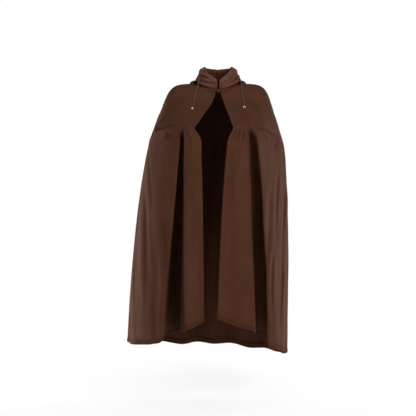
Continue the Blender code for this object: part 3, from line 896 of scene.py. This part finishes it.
def finishMaterial(material, inputs):
    setInputs(material.node_tree, material.node_tree.nodes["Principled BSDF"], inputs)
    return material


clothLook = {
    "dark": (0.044, 0.0150, 0.0078, 1.0),
    "light": (0.072, 0.0262, 0.0145, 1.0),
    # pale colour both for real wear and for painted sheen and painted light
    "worn": (0.160, 0.0740, 0.0490, 1.0),
    "wornShare": 0.30,
    "thread": 0.00062,       # one thread's width in metres
    "weaveRise": 0.00012,
    "sheen": 0.02,
    "sheenTint": (0.60, 0.40, 0.33, 1.0),
    "slubScale": 420,        # thicker places in single threads
    "cloudScale": 5.5,
    "streakScale": (60, 60, 9),
    "softScale": 38,
    "softRise": 0.0016,
}


def clothMaterial():
    # Plain weave: in alternate squares the warp or the weft lies on top as a rounded rib
    material, place = startMaterial("brownCloth")
    u, v = mapPlaces(place)
    across = u / clothLook["thread"]
    down = v / clothLook["thread"]
    over = ((across.floor() + down.floor()) % 2) > 0.5
    warp = (across * math.pi).sine().size()
    weft = (down * math.pi).sine().size()
    weave = over * warp + (1 - over) * weft
    slubs = place.noise(clothLook["slubScale"])
    cloudy = place.noise(clothLook["cloudScale"], 3.0, 0.6)
    streaky = place.stretched(clothLook["streakScale"]).noise(1, 3.0)
    tone = 0.62 * cloudy + 0.26 * streaky + 0.34 * slubs - 0.11 + 0.10 * weave
    # the mesh's field of real wear together with painted sheen, painted light and painted shade
    wearAndPaintedLight = place.node("ShaderNodeAttribute", {"attribute_name": "wearAndPaintedLight"}, output=2)
    base = tone.blend(clothLook["dark"], clothLook["light"])
    # paler where worn, and paler or darker by the painted sheen, painted light and painted shade of
    # the same field
    wornAndPaintedLit = (clothLook["wornShare"] * wearAndPaintedLight * (0.35 + cloudy)).blend(base, clothLook["worn"])
    fine = (weave + 0.7 * slubs).bump(0.8, clothLook["weaveRise"])
    soft = place.noise(clothLook["softScale"], 3.0).bump(0.5, clothLook["softRise"], fine)
    inputs = {
        "Base Color": wornAndPaintedLit,
        "Roughness": 0.90 + 0.08 * slubs - 0.04 * wearAndPaintedLight,
        "Normal": soft,
        "Sheen Weight": clothLook["sheen"],
        "Sheen Roughness": 0.55,
        "Sheen Tint": clothLook["sheenTint"],
        "Specular IOR Level": 0.02,
    }
    return finishMaterial(material, inputs)


def cordMaterial(name, dark, light, pitch, strands):
    # Yarn along a braid or twist: fine threads slant across each strand
    material, place = startMaterial(name)
    u, v = mapPlaces(place)
    thread = ((u * strands * 6 + v / pitch * 5) * math.pi).sine().size()
    cloudy = place.noise(90, 3.0, 0.6)
    fuzz = place.noise(900)
    tone = 0.55 * cloudy + 0.35 * thread + 0.3 * fuzz - 0.1
    inputs = {
        "Base Color": tone.blend(dark, light),
        "Roughness": 0.70 + 0.12 * fuzz,
        "Normal": (thread + 0.6 * fuzz).bump(0.7, 0.00015),
        "Sheen Weight": 0.05,
        "Sheen Roughness": 0.5,
        "Specular IOR Level": 0.12,
    }
    return finishMaterial(material, inputs)


def threadMaterial():
    material, place = startMaterial("sewingThread")
    tone = place.noise(700)
    inputs = {
        "Base Color": tone.blend((0.060, 0.027, 0.018, 1), (0.110, 0.052, 0.037, 1)),
        "Roughness": 0.45 + 0.25 * tone,
        "Sheen Weight": 0.1,
        "Specular IOR Level": 0.4,
    }
    return finishMaterial(material, inputs)


def beadMaterial():
    # Cream bead with faint cloudy layers and fine pits
    material, place = startMaterial("creamBead")
    layers = place.stretched((180, 180, 700)).noise(1, 3.0)
    inputs = {
        "Base Color": layers.blend((0.68, 0.60, 0.50, 1), (0.92, 0.87, 0.79, 1)),
        "Roughness": 0.24 + 0.22 * layers,
        "Normal": place.noise(2600, 1.0).bump(0.25, 0.0001),
        "Coat Weight": 0.35,
        "Coat Roughness": 0.2,
        "Specular IOR Level": 0.5,
    }
    return finishMaterial(material, inputs)


# dark and light colour, pitch of the twist or braid, and strands
cordLooks = {
    "frogCord": ((0.044, 0.016, 0.009, 1), (0.100, 0.038, 0.023, 1), 0.0050, 2),
    "drawstringCord": ((0.090, 0.040, 0.026, 1), (0.180, 0.092, 0.064, 1), 0.0042, 8),
}
looks = {
    "cloth": clothMaterial(),
    "thread": threadMaterial(),
    "frog_cord": cordMaterial("frogCord", *cordLooks["frogCord"]),
    "drawstring_cord": cordMaterial("drawstringCord", *cordLooks["drawstringCord"]),
    "bead": beadMaterial(),
}


def dress(obj, material, slot, *nodes):
    # Every piece rides on the one body, takes its material from looks and hides the CAD parts it
    # stands for
    obj.data.materials.append(looks[material])
    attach(obj, "root")
    if nodes:
        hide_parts(*nodes)
    return obj


print("materials made")


def placed(name, data, place, aim):
    # A camera or a lamp, which looks along its own -Z
    obj = bpy.data.objects.new(name, data)
    obj.location = place
    obj.rotation_euler = (Vector(aim) - Vector(place)).to_track_quat("-Z", "Y").to_euler()
    bpy.context.scene.collection.objects.link(obj)
    return obj


camera = placed("camera", bpy.data.cameras.new("camera"), view["place"], view["aim"])
camera.data.lens = view["lens"]
camera.data.sensor_width = view["sensor"]
bpy.context.scene.camera = camera


def fullTurn(count):
    return np.linspace(0, 2 * math.pi, count, endpoint=False)


def spoked(turn, side, rise):
    # Directions turned from side towards rise
    return np.cos(turn)[..., None] * side + np.sin(turn)[..., None] * rise


def tangents(path, closed=True):
    around = np.concatenate([path[-1:], path, path[:1]]) if closed else path
    found = unit(np.gradient(around, axis=0))
    return found[1:-1] if closed else found


def sweptTube(path, radius, sides, reference, closed=False):
    # Circle carried along a path, its start turned to keep to a fixed reference. radius is a
    # number or a grid of path points by sides.
    tangent = tangents(path, closed)
    side = unit(np.cross(tangent, reference))
    ring = spoked(fullTurn(sides), side[:, None], np.cross(side, tangent)[:, None])
    radius = np.broadcast_to(np.asarray(radius, float), (len(path), sides))
    return path[:, None] + ring * radius[..., None]


def tubeMesh(name, grid, closed=False, mapped=True):
    # Faces of a swept tube. An open one is closed at its ends with a point in the middle.
    rows, sides = grid.shape[:2]
    faces = gridFaces(rows, sides, True)[:, ::-1].tolist()
    points = grid.reshape(-1, 3)
    length = lengthsAlong(grid.mean(1))
    u = np.broadcast_to(np.linspace(0, 1, sides, endpoint=False), (rows, sides))
    v = np.broadcast_to(length[:, None], (rows, sides))
    uv = np.stack([u, v], axis=-1).reshape(-1, 2)
    first = np.arange(sides)
    last = first + (rows - 1) * sides
    nextFirst, nextLast = np.roll(first, -1), np.roll(last, -1)
    if closed:
        faces += np.stack([last, nextLast, nextFirst, first], axis=-1).tolist()
    else:
        middle = np.full(sides, len(points))
        faces += np.stack([first, nextFirst, middle], axis=-1).tolist()
        faces += np.stack([nextLast, last, middle + 1], axis=-1).tolist()
        points = np.concatenate([points, [grid[0].mean(0), grid[-1].mean(0)]])
        uv = np.concatenate([uv, [[0.5, 0.0], [0.5, length[-1]]]])
    return addMesh(name, points, faces, uv if mapped else None)


def turnedPiece(name, profile, centre, axis, sides):
    # Closed profile of (radius, height) points turned round an axis through the centre
    side = unit(np.cross(axis, (0.0, 1.0, 0.3)))
    spoke = spoked(fullTurn(sides), side, np.cross(axis, side))
    grid = profile[:, None, :1] * spoke + profile[:, None, 1:] * axis
    return tubeMesh(name, centre + grid, closed=True, mapped=False)


def arc(radius, turn):
    return radius * np.stack([np.cos(turn), np.sin(turn)], axis=-1)


def beadProfile(radius, bore):
    # A ball's arc from the bore's rim to its other rim, then back through the bore
    rim = math.acos(bore / radius)
    half = radius * math.sin(rim)
    heights = np.linspace(-half, half, drawstrings["boreRings"])[1:-1]
    waist = bore - drawstrings["boreWaist"] * np.cos(heights / half * 1.5)
    ball = arc(radius, np.linspace(rim, -rim, drawstrings["beadRings"]))
    return np.concatenate([ball, np.stack([waist, heights], axis=-1)])


eyelet = {
    "radius": 0.0034,
    "thickness": 0.0010,
    "stitches": 20,
    "perStitch": 6,
    "sides": 10,
    "between": 0.78,
    "swell": 0.30,
    "wide": 1.25,
    "low": 0.8,
    "rise": 0.0010,
}


def eyeletMesh(name, centre, axis):
    # Ring of buttonhole stitches: a torus whose tube swells at every stitch
    side = unit(np.cross(axis, (0.0, 0.2, 1.0)))
    turn = fullTurn(eyelet["stitches"] * eyelet["perStitch"])
    path = centre + eyelet["radius"] * spoked(turn, side, np.cross(side, axis))
    outward = unit(path - centre)[:, None] * eyelet["wide"]
    stitch = np.abs(np.sin(turn * eyelet["stitches"] / 2))
    swell = eyelet["thickness"] * (eyelet["between"] + eyelet["swell"] * stitch)[:, None, None]
    grid = path[:, None] + swell * spoked(fullTurn(eyelet["sides"]), outward, -eyelet["low"] * axis)
    return tubeMesh(name, grid, closed=True)


def braidRadius(path):
    # Two sets of strands wind opposite ways; the surface is high where one lies on top
    along = lengthsAlong(path)[:, None] / drawstrings["braidPitch"] * 2 * math.pi
    turn = fullTurn(drawstrings["sides"]) * drawstrings["braidStrands"] / 2
    weave = np.abs(np.cos((turn + along) / 2) * np.cos((turn - along) / 2)) ** 0.5
    relief = drawstrings["braidRelief"]
    return drawstrings["diameter"] / 2 * (1 - relief + relief * drawstrings["braidCrown"] * weave)


endKnot = {
    "gap": 0.0004,
    "reach": 0.0016,
    "swing": 0.0006,
    "lift": 0.0009,
    "cord": 0.0010,
    "points": 120,
    "sides": 10,
}


def endKnotPath(centre, through):
    # The cord goes three times round, nearer and further, and up and down twice
    turn = fullTurn(endKnot["points"])
    rise = unit(np.cross(through, (1.0, 0.3, 0.2)))
    wound = endKnot["reach"] + endKnot["swing"] * np.cos(2 * turn)
    lifted = endKnot["lift"] * np.sin(2 * turn)[:, None] * through
    return centre + wound[:, None] * spoked(3 * turn, rise, np.cross(through, rise)) + lifted


def makeDrawstring(side, eyeletAt, outward):
    # The cord comes through its eyelet in the hood, lies down to the bead and ends in a knot
    spec = drawstrings[side]
    node = f"drawstring_{side}"
    route = np.array(spec["route"])
    bead = np.array(spec["bead"])
    through = unit(bead - route[-1])
    behind = eyeletAt - outward * drawstrings["inEyelet"]
    front = eyeletAt + outward * drawstrings["lead"]
    end = bead + through * drawstrings["inBead"]
    route = np.concatenate([[behind, front], route[1:], [bead, end]])
    path = throughPoints(route, drawstrings["pathPoints"])
    braid = sweptTube(path, braidRadius(path), drawstrings["sides"], (1.0, 0.2, 0.1))
    cord = dress(tubeMesh(node + "_braid", braid), "drawstring_cord", "drawstring_cord", node)
    beadRadius = drawstrings["beadDiameter"] / 2
    profile = beadProfile(beadRadius, drawstrings["beadBore"] / 2)
    ball = turnedPiece(f"bead_{side}", profile, bead, through, drawstrings["beadSides"])
    dress(ball, "bead", "bead", f"drawstring_bead_{side}")
    wound = endKnotPath(bead + through * (beadRadius + endKnot["gap"]), through)
    tied = sweptTube(wound, endKnot["cord"], endKnot["sides"], through, True)
    knot = dress(tubeMesh(f"end_knot_{side}", tied, True), "drawstring_cord", "drawstring_cord")
    path[::4].tolist() + [path[-1].tolist()]


# Centreline of each cord from where it leaves the hood down to its bead
cordPaths = [
    throughPoints(np.array(cord["route"] + (cord["bead"],)), drawstrings["restPoints"])
    for cord in (drawstrings["right"], drawstrings["left"])
]


def belowCords(points, normals, relief):
    # Relief may not rise into a cord: its limit is the cord's height less its reach, and it
    # grows with the square of the distance beside the cord
    for path in cordPaths:
        low, high = path.min(0) - drawstrings["nearBox"], path.max(0) + drawstrings["nearBox"]
        near = ((points > low) & (points < high)).all(axis=-1)
        away = path[None] - points[near][:, None]
        height = (away * normals[near][:, None]).sum(axis=-1)
        beside = np.linalg.norm(away - height[..., None] * normals[near][:, None], axis=-1)
        limit = height - drawstrings["reach"] + drawstrings["sideRise"] * beside**2
        limit[(height < drawstrings["clearFrom"]) | (height > drawstrings["clearTo"])] = 1.0
        relief[near] = np.minimum(relief[near], limit.min(axis=1))
    return relief


def stitchMesh(name, rows):
    # Small stitches along rows of (points, normals): each is a thin arched grain of thread
    pitch, length, thread = sewing["stitchPitch"], sewing["stitchLength"], sewing["thread"]
    ring = np.arange(12).reshape(3, 4)  # three squares of corners, and 12 and 13 are the tips
    after = np.roll(ring, -1, axis=1)
    flanks = np.stack([ring[1:], after[1:], after[:-1], ring[:-1]], axis=-1).reshape(-1, 4)
    firstTip = np.stack([ring[0], after[0], np.full(4, 12)], axis=-1)
    lastTip = np.stack([after[2], ring[2], np.full(4, 13)], axis=-1)
    verts, faces = [], []
    base = 0
    for points, normals in rows:
        places = lengthsAlong(points)
        starts = np.arange(0.5 * pitch, places[-1] - pitch, pitch)
        starts = starts + sewing["stitchUneven"] * np.sin(starts * 2900)
        first, last = (readLine(places, points, at) for at in (starts, starts + length))
        normal = unit(readLine(places, normals, starts + length / 2))
        side = unit(np.cross(last - first, normal))
        body = []
        for share in sewing["stitchShares"]:
            lift = sewing["stitchArch"] * math.sin(math.pi * share) - sewing["stitchSunk"]
            centre = first + (last - first) * share + normal * thread * lift
            for angle in np.radians([45, 135, 225, 315]):
                body.append(centre + 0.5 * thread * spoked(angle, side, normal))
        sunk = normal * thread * sewing["tipSunk"]
        verts.append(np.stack(body + [first - sunk, last - sunk], axis=1).reshape(-1, 3))
        offsets = base + 14 * np.arange(len(starts))[:, None, None]
        for group in (flanks, np.concatenate([firstTip, lastTip])):
            faces += (group + offsets).reshape(-1, group.shape[1]).tolist()
        base += 14 * len(starts)
    return dress(addMesh(name, np.concatenate(verts), faces), "thread", "cloth")


def lineAt(points, normals, distance, wanted):
    # Where each row crosses a given distance from a border, lifted onto the cloth's face
    wanted = wanted + np.zeros((len(points), 1))
    spot = readRows(distance, np.concatenate([points, normals], axis=-1), wanted)
    normal = unit(spot[:, 0, 3:])
    return spot[:, 0, :3] + normal * sewing["wall"] / 2, normal


def sewnPiece(name, base, spec):
    grid, uv, wearAndPaintedLight, points, normals, places, total = sewnGrid(base, spec)
    obj = addMesh(name, grid, gridFaces(*grid.shape[:2]), uv, wearAndPaintedLight)
    wall = obj.modifiers.new("wall", "SOLIDIFY")
    wall.thickness = sewing["wall"]
    wall.offset = 0
    wall.use_even_offset = False
    dress(obj, "cloth", "cloth", spec["node"])
    columns = flipped(points), flipped(normals)
    downwards = lengthsAlong(columns[0])
    inset = sewing["fromTurn"]
    rows = [
        lineAt(*columns, downwards, downwards[:, -1:] - (spec["hemTurn"] - inset)),
        lineAt(points, normals, places, spec["firstTurn"] - inset),
        lineAt(points, normals, places, total - (spec["lastTurn"] - inset)),
        lineAt(*columns, downwards, sewing["fromNeck"]),
    ]
    stitches = stitchMesh(name + "_stitches", rows)
    hemLine, neckLine = (lengthsAlong(points[i])[-1] for i in (-1, 0))
    longest = downwards[len(downwards) // 2, -1]
    print(f"{name} hem {hemLine:.3f} neck {neckLine:.3f} down {longest:.3f}")
    "draped" if "panel" in spec["node"] else "folded"
    return points, normals


def pulledIn(grid, atFirst, atLast):
    # Draws a border in along its rows, which leaves the gap of a seam
    for wanted, border, beside in ((atFirst, 0, 1), (atLast, -1, -2)):
        if wanted:
            inwards = unit(grid[:, beside] - grid[:, border])
            grid[:, border] += inwards * cloak["seamGap"] / 2
    return grid


downPlaces = rowsDown(downKnots[-1], sewing["hemTurn"], panelBuild["rows"])
for key, panel in panels.items():
    first, last = (aroundKnots[i] for i in panel["lines"])
    around = np.linspace(first, last, round((last - first) / panelBuild["dense"]))
    front = panel["frontEdge"]
    spec = {
        **panel,
        "firstTurn": sewing["frontTurn"] if front == "first" else sewing["seamTurn"],
        "lastTurn": sewing["frontTurn"] if front == "last" else sewing["seamTurn"],
        "hemTurn": sewing["hemTurn"],
        "edgeAt": "last" if front == "last" else "first",
        "waves": 1.0,
        "puckers": 1.0,
        "paintedLightFront": 0.0,
        "calmFrom": math.inf,
    }
    dense = clothPoints(downPlaces, around)
    sewnPiece(key, pulledIn(dense, front != "first", front != "last"), spec)
print("panels made")


def hoodProfile(section):
    # (along, off) of one section, from the neck seam to the rim
    stand, lean, roll, reach, lie, puff, backUp = np.array(section[1:]) / 1000
    over = 2 * roll - lean
    fall = math.exp(-reach / hood["fallsWithin"])
    middleOff = lie + hood["middleLift"] * (stand - lie) * fall
    turnedUp = max(0, hood["rimTurn"] - abs(backUp)) * min(1, puff / hood["rimTurn"])
    return (
        (0, 0),
        (-0.45 * lean, 0.5 * stand),
        (-lean, stand),
        (roll - lean, stand + 0.7 * roll),
        (over, stand - 0.1 * roll),
        ((over + reach) / 2, middleOff),
        (reach, lie + 0.25 * puff),
        (reach - 0.38 * backUp, lie + puff + 0.4 * turnedUp),
        (reach - backUp, lie + 1.05 * puff + turnedUp),
    )


def hoodGrid(isRight):
    # One half of the hood, from the neck seam to the rim. A section's points lie along a line
    # down the cloak and off its face, and a negative along reaches straight in over the neck.
    angles = np.array([section[0] for section in hood["sections"]], float)
    turns = np.linspace(angles[0], angles[-1], hood["denseColumns"])
    profile = flipped(smoothCurve(angles, [hoodProfile(row) for row in hood["sections"]], turns))
    knots = ringKnots(profile)
    profile = smoothCurve(knots, profile, rowsDown(knots[-1], sewing["channelTurn"], hood["rows"]))
    along, off = profile[..., 0], profile[..., 1:]
    around = np.interp(turns if isRight else 360 - turns, neckTurns, aroundKnots)
    down = np.linspace(*hood["down"])
    lines = flipped(clothPoints(np.append(0, down), around))
    lengths = lengthsAlong(lines)
    face = flipped(readRows(lengths[:, 1:], flipped(clothNormals(down, around)), along.T))
    onLine = flipped(readRows(lengths, lines, along.T))
    onLine = onLine + np.minimum(along, 0)[..., None] * unit(lines[:, 0] * (1, 1, 0))
    settled = np.clip(along / hood["settlesWithin"], 0, 1)[..., None]
    grid = onLine + unit((1 - settled) * np.array([0.0, 0.0, 1.0]) + settled * face) * off
    grid[..., 2] += hood["seamRise"]
    return grid if isRight else grid[:, ::-1].copy()


for side, key in (("right", "hoodRight"), ("left", "hoodLeft")):
    isRight = side == "right"
    spec = {
        **hood,
        "node": f"hood_{side}_half",
        "frontEdge": None,
        "firstTurn": sewing["seamTurn"],
        "lastTurn": sewing["seamTurn"],
        "hemTurn": sewing["channelTurn"],
        "edgeAt": "first" if isRight else "last",
        "waves": 0.0,
        "phase": 0.0,
        "paintedSheenSide": 0.0,
    }
    points, normals = sewnPiece(key, pulledIn(hoodGrid(isRight), not isRight, isRight), spec)
    # the eyelet sits on the cloth where the cord leaves the hood
    exitPoint = np.array(drawstrings[side]["route"][0])
    nearest = np.linalg.norm(points - exitPoint, axis=-1).argmin()
    outward = normals.reshape(-1, 3)[nearest]
    centre = points.reshape(-1, 3)[nearest]
    ring = eyeletMesh(f"eyelet_{side}", centre + outward * eyelet["rise"], outward)
    dress(ring, "thread", "cloth")
    makeDrawstring(side, centre, outward)
print("hood and drawstrings made")


class frogPlace:
    # The line across both fronts that the frog lies on, read at a distance from its middle
    def __init__(self):
        down = np.array([frog["rowShare"] * downKnots[1]])
        span, count = frog["spanLines"], frog["linePoints"]
        right = np.linspace(aroundKnots[span], aroundKnots[0], count)
        left = np.linspace(aroundKnots[-1 - span], aroundKnots[-1], count)[::-1]
        both = np.concatenate([right, left])
        self.line = clothPoints(down, both)[0]
        self.normals = clothNormals(down, both)[0]
        self.length = lengthsAlong(self.line)
        self.length = self.length - self.length[count - 1 : count + 1].mean()

    def frame(self, along):
        normal = unit(readLine(self.length, self.normals, along))
        step = np.array([[0], [-frog["slopeStep"]], [frog["slopeStep"]]])
        base, before, after = (readLine(self.length, self.line, along + s) for s in step)
        tangent = unit(after - before)
        return base, tangent, unit(np.cross(tangent, normal)), normal

    def place(self, along, height, off):
        base, tangent, rise, normal = self.frame(along)
        return base + rise * height[:, None] + normal * off[:, None]


def strandPair(stations):
    # (along, height) of a cord that runs out over the stations, bends back and returns
    half = frog["strandPitch"] / 2
    turn = np.radians(np.linspace(90, 270, 7))
    bendAlong = frog["barReach"] - half - half * np.cos(turn)
    along = np.concatenate([stations, bendAlong, stations[::-1]])
    height = np.concatenate([[half] * len(stations), half * np.sin(turn), [-half] * len(stations)])
    return along, height


def twistedCord(name, line, along, height, count, closed):
    # A cord seated on the cloth, of two plies twisted together: its radius dips where they meet
    off = frog["solidWall"] / 2 + frog["seatGap"] + frog["cord"] / 2
    path = throughPoints(line.place(along, height, np.full(len(along), off)), count, closed)
    wound = lengthsAlong(path)[:, None] / frog["twistPitch"] * 2 * math.pi
    dip = (1 - np.abs(np.cos(fullTurn(frog["sides"]) - wound / 2))) ** 2
    radius = frog["cord"] / 2 * (1 - frog["twistRelief"] * dip)
    grid = sweptTube(path, radius, frog["sides"], (0.0, -1.0, 0.1), closed)
    return tubeMesh(name, grid, closed)


def makeFrog():
    line = frogPlace()
    along, height = strandPair(frog["knotStations"])
    count = frog["strandPoints"]
    strands = twistedCord("frogKnotStrands", line, -along, height, count, False)
    dress(strands, "frog_cord", "frog_cord", "frog_knot_strands")
    along, height = strandPair(frog["loopStations"])
    turn = np.radians(np.linspace(-frog["eyeHalfTurn"], frog["eyeHalfTurn"], 9))
    along = np.append(along, frog["eyeCentre"] - frog["eyeHalfWidth"] * np.cos(turn))
    height = np.append(height, frog["eyeHalfWidth"] * np.sin(turn))
    loop = twistedCord("frogLoop", line, along, height, frog["loopPoints"], True)
    dress(loop, "frog_cord", "frog_cord", "frog_loop")
    # Ball knot: the cord goes round three times and swings north and south five times
    base, tangent, rise, normal = (value[0] for value in line.frame(np.zeros(1)))
    centre = base + normal * frog["knotOff"]
    turn = fullTurn(frog["knotPoints"])
    latitude = np.radians(frog["knotSwing"]) * np.cos(frog["knotSwings"] * turn)
    weave = frog["knotWeave"] * np.sin(2 * frog["knotSwings"] * turn)
    reach = frog["knotDiameter"] / 2 - frog["knotSunk"] + weave
    level = np.cos(latitude)[:, None] * spoked(frog["knotTurns"] * turn, tangent, normal)
    path = centre + reach[:, None] * (level + np.sin(latitude)[:, None] * rise)
    outward = unit(path - centre)
    side = unit(np.cross(tangents(path), outward))
    ring = spoked(fullTurn(frog["knotSides"]), side[:, None], outward[:, None])
    knot = tubeMesh("frogKnot", path[:, None] + frog["knotCord"] * ring, True)
    dress(knot, "frog_cord", "frog_cord", "frog_knot")
    heart = frog["knotDiameter"] / 2 - frog["heartSunk"]
    core = arc(heart, np.radians(np.linspace(89, -89, 24)))
    dress(turnedPiece("frogKnotHeart", core, centre, rise, 28), "frog_cord", "frog_cord")


makeFrog()
print("frog made")

for name, place, aim, width, height, watts in studio["lamps"]:
    light = bpy.data.lights.new(name, "AREA")
    light.shape = "RECTANGLE"
    light.size = width
    light.size_y = height
    light.energy = watts
    placed(name, light, place, aim)

# Round floor that is paper near the cloak and turns into plain white light far off
rims = np.array(studio["floorRings"])[:, None]
spokes = fullTurn(studio["floorSpokes"])
level = np.full((len(rims), len(spokes)), studio["floorHeight"])
floorGrid = np.stack([rims * np.cos(spokes), rims * np.sin(spokes), level], axis=-1)
floor = addMesh("floor", floorGrid, gridFaces(*level.shape, True))
paper, place = startMaterial("paleFloor")
finishMaterial(paper, {"Base Color": studio["paper"], "Roughness": studio["paperRough"]})
distance = place.node("ShaderNodeVectorMath", {"operation": "LENGTH"}, {0: place}, output=1)
fading = {
    "Value": distance,
    "From Min": studio["paperFrom"],
    "From Max": studio["paperTo"],
    "To Min": 1 - studio["paperShows"],
}
far = place.node("ShaderNodeMapRange", {"interpolation_type": "SMOOTHSTEP"}, fading)
glow = place.node("ShaderNodeEmission", None, {"Color": (1, 1, 1, 1), "Strength": 1.0})
matte = nodeValue(place.tree, place.tree.nodes["Principled BSDF"].outputs[0])
seen = place.node("ShaderNodeLightPath")
mixed = place.node("ShaderNodeMixShader", None, {0: far * seen, 1: matte, 2: glow})
setInputs(place.tree, place.tree.nodes["Material Output"], {"Surface": mixed})
floor.data.materials.append(paper)

world = bpy.data.worlds.new("whiteRoom")
world.use_nodes = True
bpy.context.scene.world = world
tree = world.node_tree
seen = nodeValue(tree, tree.nodes.new("ShaderNodeLightPath").outputs["Is Camera Ray"])
level = seen * (1 - studio["ambient"]) + studio["ambient"]
setInputs(tree, tree.nodes["Background"], {"Strength": level, "Color": (1, 1, 1, 1)})
bpy.context.scene.view_settings.view_transform = "Standard"
bpy.context.scene.view_settings.look = "None"
print("stage made")
